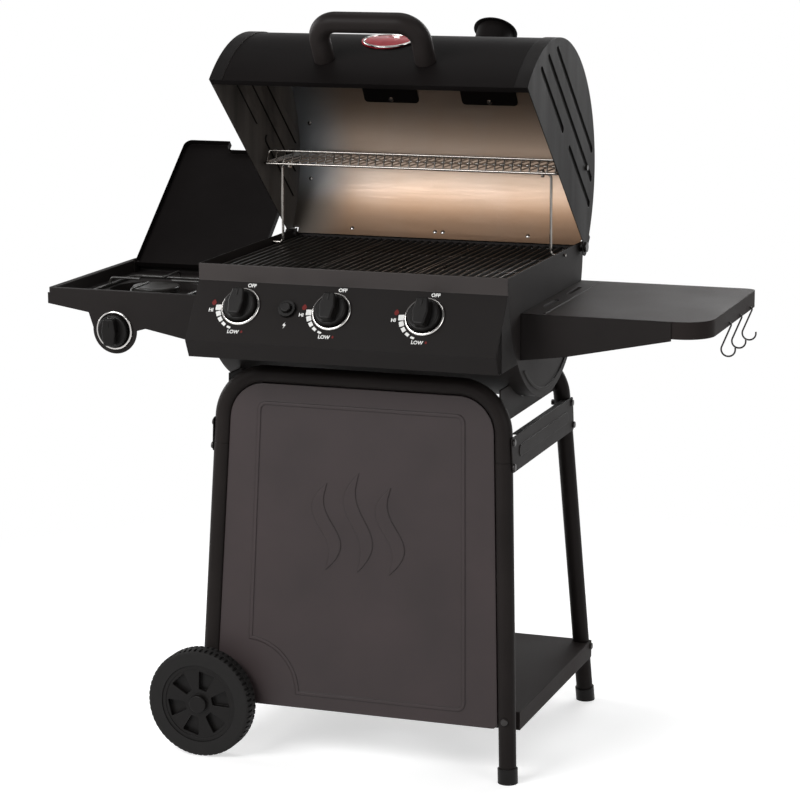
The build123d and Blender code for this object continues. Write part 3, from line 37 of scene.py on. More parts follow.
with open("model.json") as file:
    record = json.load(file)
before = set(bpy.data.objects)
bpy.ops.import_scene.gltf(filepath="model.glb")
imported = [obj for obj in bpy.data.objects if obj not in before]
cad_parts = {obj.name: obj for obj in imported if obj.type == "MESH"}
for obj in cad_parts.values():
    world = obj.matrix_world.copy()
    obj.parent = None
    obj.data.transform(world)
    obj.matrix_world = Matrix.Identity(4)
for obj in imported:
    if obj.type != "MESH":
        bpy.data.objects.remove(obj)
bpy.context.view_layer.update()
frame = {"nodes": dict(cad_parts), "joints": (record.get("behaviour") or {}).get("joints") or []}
JOINTS = {joint["name"]: joint for joint in frame["joints"]}

# Nodes of the frame, by finish
TUBES = (
    "front_upper_frame rear_upper_frame front_left_leg front_right_leg rear_left_leg rear_right_leg "
    "lid_handle"
).split()
SHEETS = (
    "left_brace right_brace firebox_cradles firebox_shell firebox_left_end firebox_right_end left_shelf "
    "right_shelf_bracket"
).split()
# Shelf tops, whose coat is lighter to paint the light that falls on them from above
TOPS_LIT_FROM_ABOVE = "bottom_shelf right_shelf".split()
LID_SHEETS = "lid_shell smokestack stack_damper side_burner_lid".split()
MOULDED = (
    "foot_caps front_wheel_rim rear_wheel_rim left_knob centre_knob right_knob side_knob igniter "
    "igniter_button"
).split()
TYRES = "front_wheel_tyre rear_wheel_tyre".split()
STEEL = "main_burners heat_tents grill_rails grease_cup cup_hanger wheel_axle".split()
PLATED = "knob_bezels heat_gauge".split()
RACK_WIRE = "warming_rack rack_legs".split()
IRON = "cooking_grate_1 cooking_grate_2 cooking_grate_3 side_burner_grate side_burner".split()
BOLTS = "frame_bolts hinge_pins tool_hook_1 tool_hook_2 tool_hook_3".split()
BRASS = "gas_manifold burner_valves".split()
BURNER_KNOBS = "left_knob centre_knob right_knob".split()
# Each lid end with the side along X that its inner face looks to
LID_ENDS = (("lid_left_end", 1.0), ("lid_right_end", -1.0))

# Control panel: matt sloping face under a smoother upright band, whose colour is lightened to paint the
# sheen it catches
BAND_HEIGHT = 0.0305
BAND_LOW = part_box("control_panel")[1].z - BAND_HEIGHT
FACE_ROUGHNESS = 0.88
BAND_ROUGHNESS = 0.4
PANEL_GLOSS = 0.26
BAND_PAINTED_SHEEN_GAIN = 3.4

# Lid: its drum, liner and plates. Angles run up and back from the front of the closed lid, and a round
# fixing's profile gives radius and height.
HINGE = Vector(JOINTS["lid_hinge"]["pos_m"])
LID_OPEN = math.radians(max(JOINTS["lid_hinge"]["range_deg"]))
LID_SPAN = (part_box("lid_left_end")[0].x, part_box("lid_right_end")[1].x)
LID_RADIUS = 0.257
LID_MIDDLE = HINGE + Vector((0.0, -0.245, -0.017))
LINER_LEFT, _, LINER_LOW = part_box("lid_liner")[0]
LINER_DEPTH = 0.0023
LINER_RADIUS = LID_RADIUS - LINER_DEPTH
# Span along X over which the painted blue-grey reflection at the liner's left edge fades out
LINER_EDGE_REFLECTION = (LINER_LEFT + 0.01, LINER_LEFT + 0.12)
LINER_BROWN = (LINER_LOW + 0.045, LINER_LOW + 0.12)
LINER_TINT = (0.5, 0.42, 0.35)
# Angle and X of each rivet
LINER_RIVETS = [(degrees, side * 0.28) for degrees in (124.0, 149.0) for side in (-1, 1)]
LINER_RIVETS += [(171.0, x) for x in (-0.18, -0.008, 0.008, 0.18)]
RIVET = ((0.0, 0.0), (0.0042, 0.0), (0.004, 0.0008), (0.0028, 0.0018), (0.0, 0.0023))
PLATE_ANGLE = 105.6
PLATE_DEPTH = 0.0026
PLATE_RADIUS = LID_RADIUS - PLATE_DEPTH
# Inner and outer face of each plate, off its radius
PLATE_SHEET = (-0.0016, -0.0002)
PLATE_CORNER = 0.008
PLATE_BOLT_ANGLE = 110.7
PLATE_BOLT = ((0.0, 0.0), (0.0055, 0.0), (0.0055, 0.002), (0.004, 0.0038), (0.0, 0.0042))

# Badge and heat gauge on the lid
BADGE_ANGLE = 35.0
BADGE_HALF = (0.0475, 0.0362)
BADGE_LIFT = 0.0033
RIM_STEPS = 96
RIM_SIDES = 10
GAUGE_ANGLE = 53.0
GAUGE_LIFT = 0.0121
GAUGE_CARD = ((0.0, 0.0), (0.0275, 0.0), (0.0275, 0.0003), (0.0, 0.0003))
TICK_COUNT = 25
TICK_GROUP = 4
TICK_START = -45.0
TICK_SWEEP = 270.0
TICK_OUT = 0.0235
TICK_LONG = 0.005
TICK_SHORT = 0.003
TICK_WIDTH = 0.0007
TICK_CORNER = 0.0002
TICK_LIFT = 0.0004
TICK_INK = 0.0002
TICK_COLOUR = (0.02, 0.02, 0.02)
POINTER_TURN = 225.0
POINTER = ((-0.006, -0.001), (0.019, -0.0003), (0.019, 0.0003), (-0.006, 0.001))
# Lower and upper face of the pointer, above the card's back
POINTER_SHEET = (0.0008, 0.0012)
POINTER_HUB = ((0.0, 0.0007), (0.0022, 0.0007), (0.0022, 0.0016), (0.0, 0.0018))

# Dial marks: angles run round the knob from its right, distances from its middle
INK = 0.0003
DIAL_START = 184.0
DIAL_END = 249.0
BLOCK_FILL = 0.86
BLOCK_NARROWING = 0.62
BLOCK_LOWERING = 0.3
BLOCK_CORNER = 0.1
# Each word with its angle and distance
DIAL_WORDS = (("OFF", 74.0, 0.0448), ("HI", 189.0, 0.0575), ("LOW", 264.0, 0.0498))
LETTER_SIZE = 1.38
LETTER_WEIGHT = 0.05
# Angle, distance and half height of each heat mark
HEAT_MARKS = ((173.0, 0.054, 0.0058), (283.0, 0.0495, 0.0028))
DROP_STEPS = 20
DROP_WIDTH = 0.75
DROP_PINCH = 0.5
SPARK = ((0.1, 1.0), (-0.55, -0.1), (-0.05, -0.1), (-0.2, -1.0), (0.55, 0.25), (0.05, 0.25))

# Stage
FLOOR_RADIUS = 60.0
FLOOR_SIDES = 96
FLOOR_ROUGHNESS = 0.7
FLOOR_GLOSS = 0.1
# Each lamp's setting in GrillStage, place, aim, width and height
LAMPS = (
    ("key", (-1.25, -2.4, 2.3), (0.0, -0.1, 0.75), 1.7, 1.3),
    ("fill", (3.0, -1.8, 1.9), (0.0, 0.0, 0.75), 1.3, 2.2),
    ("top", (0.1, 0.5, 3.4), (0.0, 0.0, 0.9), 2.6, 1.6),
    ("rear", (0.75, 3.2, 2.1), (0.0, 0.0, 0.8), 2.4, 1.4),
    ("left", (-3.2, 0.6, 1.8), (0.0, 0.0, 0.8), 1.8, 1.4),
)
FILM_WIDTH = 36.0
CLIP_END = 100.0

# Shading
WHITE = (1.0, 1.0, 1.0, 1.0)
# Sockets of the mix node when it mixes colours
MIX_FACTOR = 0
MIX_FIRST = 6
MIX_SECOND = 7
MIX_RESULT = 2
NOISE_ROUGHNESS = 0.55
# The part of its range that most of a noise fills
NOISE_LOW = 0.3
NOISE_HIGH = 0.7
BEVEL_SAMPLES = 6
BRUSH_SCALE = 900.0
BRUSH_STRETCH = 0.012


def colour(name, description, value):
    """Setting of a colour."""
    return FloatVectorProperty(
        name=name, description=description, default=value, subtype="COLOR", min=0.0, max=1.0
    )


def length(name, description, value):
    """Setting of a length in metres."""
    return FloatProperty(name=name, description=description, default=value, unit="LENGTH", min=0.0)


def angle(name, description, degrees):
    """Setting of an angle, given in degrees."""
    return FloatProperty(
        name=name, description=description, default=math.radians(degrees), subtype="ANGLE"
    )


def power(name, description, value):
    """Setting of a lamp's power in watts."""
    return FloatProperty(name=name, description=description, default=value, subtype="POWER")


def share(name, description, value):
    """Setting between nothing and one."""
    return FloatProperty(
        name=name, description=description, default=value, subtype="FACTOR", min=0.0, max=1.0
    )


class GrillFinishes(bpy.types.PropertyGroup):
    """Colours of the grill's finishes."""

    coat: colour("Powder coat", "Black coat of the sheets, tubes and bolts", (0.0125, 0.0104, 0.0099))
    # The shelf coat is lighter than the black coat: painted light from above on the shelf tops
    top_coat_painted_light: colour("Shelf coat", "Slightly worn coat of the flat shelves", (0.022, 0.018, 0.0172))
    lid_coat: colour("Lid coat", "Black coat of both lids and the smokestack", (0.006, 0.005, 0.0049))
    # Inside of the lid ends: a thinner smoky coat, made lighter to paint the light caught inside the lid
    lid_inside_smoke_and_light: colour("Lid end inside", "Thin smoky coat inside the lid's ends", (0.085, 0.078, 0.072))
    panel: colour("Front panel coat", "Charcoal coat of the front panel", (0.03, 0.021, 0.0215))
    plastic: colour("Moulded plastic", "Knobs, igniter, wheel rims and foot caps", (0.0062, 0.0054, 0.0051))
    rubber: colour("Tyre rubber", "Tyres", (0.011, 0.0103, 0.01))
    liner: colour("Lid liner", "Warm bright steel inside the lid", (0.46, 0.345, 0.265))
    # Blue-grey colour at the liner's left edge: a painted reflection
    liner_edge_reflection: colour("Lid liner edge", "Cooler steel at the left edge of the liner", (0.5, 0.53, 0.56))
    steel: colour("Bright steel", "Burners, heat tents, rails, grease cup and axle", (0.6, 0.58, 0.55))
    plating: colour("Chrome plating", "Bezels, gauge, badge rim, rivets and plate bolts", (0.62, 0.6, 0.58))
    rack: colour("Rack plating", "Wires of the warming rack and its legs", (0.3, 0.28, 0.26))
    iron: colour("Cast iron", "Cooking grates, side burner and pan support", (0.021, 0.0195, 0.018))
    brass: colour("Brass", "Manifold and valves", (0.66, 0.5, 0.24))
    enamel: colour("Badge enamel", "Field of the blank badge", (0.52, 0.02, 0.035))
    print_white: colour("White print", "Dial marks, spark mark and gauge card", (0.82, 0.82, 0.8))
    print_red: colour("Red print", "Heat marks of the dials and pointer of the gauge", (0.15, 0.016, 0.014))


class GrillFittings(bpy.types.PropertyGroup):
    """Sizes of the small fittings."""

    dial_radius: length("Dial radius", "Middle of the printed blocks round a knob", 0.0435)
    dial_block: length("Dial block", "Width of the largest printed block", 0.0105)
    dial_count: IntProperty(
        name="Dial blocks", description="Printed blocks between hot and low", default=5, min=2
    )
    letter: length("Letter height", "Height of the dial words", 0.0068)
    spark_drop: length("Spark mark drop", "Distance of the spark mark below the igniter", 0.031)
    spark_size: length("Spark mark size", "Half the height of the spark mark", 0.006)
    plate_width: length("Lid plate width", "Width of each plate inside the lid", 0.112)
    plate_height: length("Lid plate height", "Height of each plate inside the lid", 0.062)
    plate_spread: length("Lid plate spread", "Distance of each lid plate from the middle", 0.1)
    badge_rim: length("Badge rim", "Half the thickness of the bright rim round the badge", 0.0022)


class GrillStage(bpy.types.PropertyGroup):
    """Camera, lamps and floor."""

    eye: FloatVectorProperty(
        name="Camera place",
        description="Where the camera stands",
        default=(1.68, -4.736, 1.6679),
        subtype="XYZ",
        unit="LENGTH",
    )
    turn: angle("Camera turn", "Turn from straight in front", 19.781)
    tilt: angle("Camera tilt", "Downward tilt", 11.70)
    roll: angle("Camera roll", "Roll about the view", -0.313)
    lens: FloatProperty(
        name="Lens",
        description="Focal length on a 36 mm frame",
        default=120.99,
        subtype="DISTANCE_CAMERA",
    )
    key: power("Key lamp", "Power of the large lamp at the front left", 72.0)
    fill: power("Fill lamp", "Power of the lamp at the right", 26.0)
    top: power("Top lamp", "Power of the lamp overhead", 24.0)
    rear: power("Rear lamp", "Power of the lamp behind the grill", 58.0)
    left: power("Left lamp", "Power of the lamp at the left", 46.0)
    sky: share("Room light", "Strength of the even light from all round", 0.3)
    wall_top: share("Wall top", "Sine of the height where the white walls begin to dim", 0.15)
    ceiling_start: share("Ceiling", "Sine of the height where the dim ceiling begins", 0.65)
    ceiling: share("Ceiling light", "Share of the walls' light on the ceiling", 0.14)
    floor: colour("Floor", "Plain floor under the grill", (0.7, 0.7, 0.7))
    floor_white: share("Floor white", "White of the floor in full shadow", 0.58)
    fade_start: length("Fade start", "Distance from the grill where the floor begins to turn white", 0.7)
    fade_end: length("Fade end", "Distance from the grill where the floor is plain white", 1.7)


# Shading nodes


def feed(tree, value, socket):
    """Link an output to a socket, or set the socket to a plain value."""
    if isinstance(value, bpy.types.NodeSocket):
        tree.links.new(value, socket)
    else:
        socket.default_value = value


def rgba(value):
    """Colour with full cover."""
    return (*value, 1.0)


def lighter(value, by):
    """Colour times a factor, darker where that is below one."""
    return tuple(min(1.0, channel * by) for channel in value)


def split(tree, vector):
    """Outputs of a vector's X, Y and Z."""
    node = tree.nodes.new("ShaderNodeSeparateXYZ")
    tree.links.new(vector, node.inputs["Vector"])
    return node.outputs


def compute(tree, operation, *values, clamp=False):
    """Output of a calculation on plain values or outputs."""
    node = tree.nodes.new("ShaderNodeMath")
    node.operation = operation
    node.use_clamp = clamp
    for value, socket in zip(values, node.inputs):
        feed(tree, value, socket)
    return node.outputs["Value"]


def remap(tree, value, start, end, low=0.0, high=1.0, smooth=False):
    """Output that runs from low to high as a value runs from start to end."""
    node = tree.nodes.new("ShaderNodeMapRange")
    node.interpolation_type = "SMOOTHSTEP" if smooth else "LINEAR"
    tree.links.new(value, node.inputs["Value"])
    node.inputs["From Min"].default_value = start
    node.inputs["From Max"].default_value = end
    node.inputs["To Min"].default_value = low
    node.inputs["To Max"].default_value = high
    return node.outputs["Result"]


def blend(tree, factor, first, second, way="MIX"):
    """Colour between two plain colours or outputs."""
    node = tree.nodes.new("ShaderNodeMix")
    node.data_type = "RGBA"
    node.blend_type = way
    feed(tree, factor, node.inputs[MIX_FACTOR])
    feed(tree, first, node.inputs[MIX_FIRST])
    feed(tree, second, node.inputs[MIX_SECOND])
    return node.outputs[MIX_RESULT]


def noise(tree, place, scale, detail=2.0, stretch=None):
    """Noise over the object, in grains per metre, drawn out along an axis by stretch."""
    if stretch:
        mapping = tree.nodes.new("ShaderNodeMapping")
        mapping.inputs["Scale"].default_value = stretch
        tree.links.new(place, mapping.inputs["Vector"])
        place = mapping.outputs["Vector"]
    grain = tree.nodes.new("ShaderNodeTexNoise")
    grain.inputs["Scale"].default_value = scale
    grain.inputs["Detail"].default_value = detail
    grain.inputs["Roughness"].default_value = NOISE_ROUGHNESS
    tree.links.new(place, grain.inputs["Vector"])
    return grain.outputs["Fac"]


def spread(tree, value, low, high):
    """Spread a noise between two values."""
    return remap(tree, value, NOISE_LOW, NOISE_HIGH, low, high)


def two_tone(tree, value, first, second):
    """Soft change between two colours by a noise."""
    return blend(tree, spread(tree, value, 0.0, 1.0), rgba(first), rgba(second))


def bump(tree, shader, value, strength, depth, edge=0.0):
    """Raise a noise on the surface, and round sharp edges by a small radius."""
    relief = tree.nodes.new("ShaderNodeBump")
    relief.inputs["Strength"].default_value = strength
    relief.inputs["Distance"].default_value = depth
    tree.links.new(value, relief.inputs["Height"])
    if edge:
        bevel = tree.nodes.new("ShaderNodeBevel")
        bevel.samples = BEVEL_SAMPLES
        bevel.inputs["Radius"].default_value = edge
        tree.links.new(bevel.outputs["Normal"], relief.inputs["Normal"])
    tree.links.new(relief.outputs["Normal"], shader.inputs["Normal"])


def new_finish(name):
    """Material with an empty principled shader, its node tree and object coordinates."""
    finish = bpy.data.materials.new(name)
    finish.use_nodes = True
    tree = finish.node_tree
    tree.nodes.clear()
    shader = tree.nodes.new("ShaderNodeBsdfPrincipled")
    output = tree.nodes.new("ShaderNodeOutputMaterial")
    tree.links.new(shader.outputs["BSDF"], output.inputs["Surface"])
    place = tree.nodes.new("ShaderNodeTexCoord").outputs["Object"]
    return finish, tree, shader, place


def surface(tree, shader, base, roughness, metal=None, gloss=None):
    """Feed a shader's colour and roughness, and its metal and gloss where they aren't the usual ones."""
    feed(tree, base, shader.inputs["Base Color"])
    feed(tree, roughness, shader.inputs["Roughness"])
    if metal is not None:
        feed(tree, metal, shader.inputs["Metallic"])
    if gloss is not None:
        shader.inputs["Specular IOR Level"].default_value = gloss


# Finishes


def coat_layers(tree, place, value, roughness):
    """Colour and roughness of a powder coat with faint cloudy handling marks."""
    clouds = noise(tree, place, scale=6.0, detail=4.0)
    base = two_tone(tree, clouds, lighter(value, 0.85), lighter(value, 1.25))
    return base, spread(tree, clouds, low=roughness - 0.04, high=roughness + 0.06)


def coat_grain(tree, shader, place, grain=1500.0, edge=0.0026):
    """Fine grain of a powder coat."""
    bump(tree, shader, noise(tree, place, grain), strength=0.16, depth=0.0004, edge=edge)


def powder_coat(name, value, roughness=0.6, gloss=0.13, grain=1500.0, edge=0.0014):
    """Fine textured coat of the metalwork."""
    finish, tree, shader, place = new_finish(name)
    base, rough = coat_layers(tree, place, value, roughness)
    surface(tree, shader, base, rough, gloss=gloss)
    coat_grain(tree, shader, place, grain, edge)
    return finish


def panel_coat(name, value):
    """Matt coat of the control panel's face, smoother on the upright band above it, where the colour is
    lightened to paint a sheen.
    """
    finish, tree, shader, place = new_finish(name)
    base, rough = coat_layers(tree, place, value, FACE_ROUGHNESS)
    above = compute(tree, "GREATER_THAN", split(tree, place)["Z"], BAND_LOW)
    rough = compute(tree, "MULTIPLY_ADD", above, BAND_ROUGHNESS - FACE_ROUGHNESS, rough)
    # Painted sheen: the band's colour is multiplied to make it lighter
    sheen_lifted_base = tree.nodes.new("ShaderNodeVectorMath")
    sheen_lifted_base.operation = "SCALE"
    tree.links.new(base, sheen_lifted_base.inputs[0])
    tree.links.new(remap(tree, above, 0.0, 1.0, low=1.0, high=BAND_PAINTED_SHEEN_GAIN), sheen_lifted_base.inputs["Scale"])
    surface(tree, shader, sheen_lifted_base.outputs["Vector"], rough, gloss=PANEL_GLOSS)
    coat_grain(tree, shader, place)
    return finish


def end_coat(name, value, inside_smoke_and_light_value, inward):
    """Coat of a lid end: black outside; on the face that looks inward along X a thinner smoky coat,
    lightened and streaked to paint the light and rib reflections that face catches.
    """
    finish, tree, shader, place = new_finish(name)
    normal = tree.nodes.new("ShaderNodeNewGeometry").outputs["Normal"]
    inside = compute(tree, "MULTIPLY", split(tree, normal)["X"], inward, clamp=True)
    # Upright streaks and the lighter inside colour paint light and rib reflections on the inward face
    streaks = noise(tree, place, scale=22.0, detail=4.0, stretch=(1.0, 1.0, 0.12))
    smoky = two_tone(tree, streaks, lighter(inside_smoke_and_light_value, 0.6), lighter(inside_smoke_and_light_value, 1.5))
    base = blend(tree, inside, rgba(value), smoky)
    surface(tree, shader, base, spread(tree, streaks, low=0.48, high=0.6), gloss=0.1)
    coat_grain(tree, shader, place)
    return finish


def moulded_plastic(name, value):
    """Fine-grained black plastic."""
    finish, tree, shader, place = new_finish(name)
    clouds = noise(tree, place, scale=25.0, detail=3.0)
    base = two_tone(tree, clouds, lighter(value, 0.85), lighter(value, 1.2))
    surface(tree, shader, base, spread(tree, clouds, low=0.35, high=0.45), gloss=0.16)
    bump(tree, shader, noise(tree, place, scale=2200.0), strength=0.08, depth=0.0002, edge=0.0012)
    return finish


def tyre_rubber(name, value):
    """Dull rubber with dusty patches."""
    finish, tree, shader, place = new_finish(name)
    clouds = noise(tree, place, scale=30.0, detail=4.0)
    base = two_tone(tree, clouds, lighter(value, 0.8), lighter(value, 1.4))
    surface(tree, shader, base, spread(tree, clouds, low=0.62, high=0.78), gloss=0.2)
    skin = noise(tree, place, scale=900.0, detail=3.0)
    bump(tree, shader, skin, strength=0.3, depth=0.0004, edge=0.0012)
    return finish


def brushed_steel(name, value):
    """Sheet steel with fine streaks along Y over a slow change of tint."""
    finish, tree, shader, place = new_finish(name)
    streaks = noise(tree, place, BRUSH_SCALE, detail=3.0, stretch=(1.0, BRUSH_STRETCH, 1.0))
    heat = noise(tree, place, scale=3.2, detail=3.0)
    tinted = (value[0], value[1] * 0.9, value[2] * 0.8)
    base = two_tone(tree, heat, value, tinted)
    surface(tree, shader, base, spread(tree, streaks, low=0.33, high=0.49), metal=1.0)
    bump(tree, shader, streaks, strength=0.12, depth=0.0003)
    return finish


def liner_sheet(name, value, edge_reflection_value):
    """Brushed liner with a painted blue-grey reflection towards its left edge, darker and browner towards
    its lower edge.
    """
    finish, tree, shader, place = new_finish(name)
    streaks = noise(tree, place, BRUSH_SCALE, detail=3.0, stretch=(BRUSH_STRETCH, 1.0, 1.0))
    spot = split(tree, place)
    # Mask of the painted blue-grey reflection at the left edge
    past_edge_reflection = remap(tree, spot["X"], *LINER_EDGE_REFLECTION, smooth=True)
    clouds = remap(tree, noise(tree, place, scale=7.0, detail=3.0), 0.0, 1.0, low=0.7, high=1.2)
    warm = blend(tree, compute(tree, "MULTIPLY", past_edge_reflection, clouds), rgba(edge_reflection_value), rgba(value))
    rise = remap(tree, spot["Z"], *LINER_BROWN, smooth=True)
    base = blend(tree, 1.0, warm, blend(tree, rise, rgba(LINER_TINT), WHITE), "MULTIPLY")
    surface(tree, shader, base, spread(tree, streaks, low=0.32, high=0.44), metal=1.0)
    bump(tree, shader, streaks, strength=0.12, depth=0.0003)
    return finish


def chrome_plate(name, value):
    """Bright plating."""
    finish, tree, shader, place = new_finish(name)
    clouds = noise(tree, place, scale=60.0, detail=3.0)
    base = two_tone(tree, clouds, lighter(value, 0.9), value)
    surface(tree, shader, base, spread(tree, clouds, low=0.1, high=0.2), metal=1.0)
    bump(tree, shader, noise(tree, place, scale=700.0), strength=0.03, depth=0.0002)
    return finish


def rack_plate(name, value, cap_value):
    """Dull plated wire; the pin ends outside the lid are black."""
    finish, tree, shader, place = new_finish(name)
    clouds = noise(tree, place, scale=60.0, detail=3.0)
    across = compute(tree, "SUBTRACT", split(tree, place)["X"], sum(LID_SPAN) / 2)
    away = compute(tree, "ABSOLUTE", across)
    outside = compute(tree, "GREATER_THAN", away, (LID_SPAN[1] - LID_SPAN[0]) / 2)
    wire = two_tone(tree, clouds, lighter(value, 0.85), value)
    base = blend(tree, outside, wire, rgba(cap_value))
    metal = compute(tree, "SUBTRACT", 1.0, outside)
    surface(tree, shader, base, spread(tree, clouds, low=0.16, high=0.28), metal=metal)
    bump(tree, shader, noise(tree, place, scale=700.0), strength=0.03, depth=0.0002)
    return finish


def cast_iron(name, value):
    """Enamelled casting with a sandy skin."""
    finish, tree, shader, place = new_finish(name)
    clouds = noise(tree, place, scale=18.0, detail=4.0)
    base = two_tone(tree, clouds, lighter(value, 0.7), lighter(value, 1.6))
    surface(tree, shader, base, spread(tree, clouds, low=0.26, high=0.4), gloss=0.5)
    skin = noise(tree, place, scale=1100.0, detail=4.0)
    bump(tree, shader, skin, strength=0.25, depth=0.0005, edge=0.0015)
    return finish


def machined_brass(name, value):
    """Turned brass, a little tarnished."""
    finish, tree, shader, place = new_finish(name)
    clouds = noise(tree, place, scale=40.0, detail=4.0)
    base = two_tone(tree, clouds, lighter(value, 0.75), value)
    surface(tree, shader, base, spread(tree, clouds, low=0.25, high=0.4), metal=1.0)
    bump(tree, shader, noise(tree, place, scale=1500.0), strength=0.05, depth=0.0002, edge=0.0006)
    return finish


def gloss_enamel(name, value):
    """Glossy enamel under a clear coat."""
    finish, tree, shader, place = new_finish(name)
    clouds = noise(tree, place, scale=45.0, detail=3.0)
    base = two_tone(tree, clouds, lighter(value, 0.82), lighter(value, 1.08))
    surface(tree, shader, base, spread(tree, clouds, low=0.16, high=0.26))
    shader.inputs["Coat Weight"].default_value = 0.5
    bump(tree, shader, noise(tree, place, scale=500.0), strength=0.05, depth=0.0002)
    return finish


def printed_ink(name, value):
    """Screen print with slightly uneven cover."""
    finish, tree, shader, place = new_finish(name)
    clouds = noise(tree, place, scale=400.0, detail=3.0)
    base = two_tone(tree, clouds, lighter(value, 0.9), value)
    surface(tree, shader, base, spread(tree, clouds, low=0.45, high=0.6), gloss=0.12)
    bump(tree, shader, clouds, strength=0.05, depth=0.0001)
    return finish


def dress(nodes, finish):
    """Give a finish to nodes of the frame."""
    for name in nodes:
        mesh = frame["nodes"][name].data
        mesh.materials.clear()
        mesh.materials.append(finish)


# Shapes


def set_down(name, shape, finish, body):
    """Make an object of a bmesh, give it its finish and let it ride on a body."""
    mesh = bpy.data.meshes.new(name)
    bmesh.ops.recalc_face_normals(shape, faces=shape.faces)
    shape.to_mesh(mesh)
    shape.free()
    piece = bpy.data.objects.new(name, mesh)
    bpy.context.scene.collection.objects.link(piece)
    mesh.materials.append(finish)
    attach(piece, body)
    return piece


def prism(shape, points, low, high, place=None):
    """Straight-sided solid over an outline, between two heights."""
    start = [shape.verts.new((x, y, low)) for x, y in points]
    face = shape.faces.new(start)
    grown = bmesh.ops.extrude_face_region(shape, geom=[face])
    raised = [item for item in grown["geom"] if isinstance(item, bmesh.types.BMVert)]
    bmesh.ops.translate(shape, verts=raised, vec=(0.0, 0.0, high - low))
    if place is not None:
        bmesh.ops.transform(shape, matrix=place, verts=start + raised)


def circle_point(radius, turn):
    """Point at a share of a full turn round a circle."""
    return radius * math.cos(math.tau * turn), radius * math.sin(math.tau * turn)


def lathe(shape, profile, place, steps):
    """Round solid of a profile of radius and height, closed where the radius is nothing."""
    rings = []
    for radius, height in profile:
        count = steps if radius > 0.0 else 1
        points = [(*circle_point(radius, i / steps), height) for i in range(count)]
        rings.append([shape.verts.new(place @ Vector(point)) for point in points])
    for lower, upper in zip(rings, rings[1:]):
        for i in range(steps):
            round_face = ((lower, i), (lower, i + 1), (upper, i + 1), (upper, i))
            corners = [ring[j % len(ring)] for ring, j in round_face]
            shape.faces.new(list(dict.fromkeys(corners)))


def rounded_box(width, height, radius, steps=6):
    """Outline of a rectangle with round corners."""
    points = []
    for quarter, (sx, sy) in enumerate(((1, 1), (-1, 1), (-1, -1), (1, -1))):
        for i in range(steps + 1):
            x, y = circle_point(radius, (quarter + i / steps) / 4)
            points.append((sx * (width / 2 - radius) + x, sy * (height / 2 - radius) + y))
    return points


def facing(origin, out):
    """Matrix of a place whose Z runs outwards and X across the grill."""
    out = Vector(out).normalized()
    up = out.cross(Vector((1.0, 0.0, 0.0))).normalized()
    matrix = Matrix((up.cross(out), up, out)).transposed().to_4x4()
    return Matrix.Translation(Vector(origin)) @ matrix


def on_lid(degrees, x, radius):
    """Place on the open lid, at an angle up from the front of the closed one."""
    slope = math.radians(degrees)
    out = Vector((0.0, -math.cos(slope), math.sin(slope)))
    spot = Vector((x, LID_MIDDLE.y, LID_MIDDLE.z)) + out * radius
    swing = Matrix.Rotation(-LID_OPEN, 4, "X")
    return Matrix.Translation(HINGE) @ swing @ Matrix.Translation(-HINGE) @ facing(spot, out)


def inside_lid(degrees, x, radius):
    """Place inside the open lid, whose Z runs towards the middle of the drum."""
    return on_lid(degrees, x, radius) @ Matrix.Rotation(math.pi, 4, "X")


def wrap_on_lid(shape, degrees, radius):
    """Bend what lies flat on the lid round its drum."""
    for vert in shape.verts:
        x, y, z = vert.co
        vert.co = on_lid(degrees + math.degrees(y / radius), x, radius + z).translation


def polar(degrees, out):
    """Upright place at an angle and a distance from a knob's middle."""
    return Matrix.Translation((*circle_point(out, degrees / 360.0), 0.0))


def knob_place(name):
    """Place of a knob on its panel, with Z along its stem."""
    joint = JOINTS[name + "_turn"]
    return facing(joint["pos_m"], joint["axis"])


def word(shape, text, height, place):
    """Printed word, laid flat on a place."""
    curve = bpy.data.curves.new(text, "FONT")
    curve.body = text
    curve.size = height * LETTER_SIZE
    curve.offset = height * LETTER_WEIGHT
    curve.align_x = "CENTER"
    curve.align_y = "CENTER"
    holder = bpy.data.objects.new(text, curve)
    mesh = bpy.data.meshes.new_from_object(holder)
    mesh.transform(place)
    shape.from_mesh(mesh)
    bpy.data.meshes.remove(mesh)
    bpy.data.objects.remove(holder)
    bpy.data.curves.remove(curve)


# Operators


class GRILL_OT_coat_metalwork(bpy.types.Operator):
    """Powder coat the frame, firebox, lids, shelves, panels and bolts"""

    bl_idname = "grill.coat_metalwork"
    bl_label = "Coat Metalwork"

    def execute(self, context):
        finishes = context.scene.grill_finishes
        coat = finishes.coat
        dress(TUBES, powder_coat("tube_powder_coat", lighter(coat, 1.3), roughness=0.44, gloss=0.06))
        dress(SHEETS, powder_coat("sheet_powder_coat", coat, edge=0.0026))
        # Painted light: the shelf tops take a lighter coat
        tops_painted_light = powder_coat("top_powder_coat", finishes.top_coat_painted_light, roughness=0.54, gloss=0.04, edge=0.0026)
        dress(TOPS_LIT_FROM_ABOVE, tops_painted_light)
        dress(LID_SHEETS, powder_coat("lid_powder_coat", finishes.lid_coat, roughness=0.5, gloss=0.04))
        dress(["control_panel"], panel_coat("control_panel_coat", lighter(coat, 0.75)))
        for node, inward in LID_ENDS:
            dress([node], end_coat(node + "_coat", finishes.lid_coat, finishes.lid_inside_smoke_and_light, inward))
        panel = powder_coat("panel_powder_coat", finishes.panel, roughness=0.5, gloss=0.36, edge=0.003)
        dress(["front_panel"], panel)
        dark = lighter(coat, 1.6)
        zinc = powder_coat("black_zinc", dark, roughness=0.34, gloss=0.4, grain=2500.0, edge=0.0006)
        dress(BOLTS, zinc)
        return {"FINISHED"}


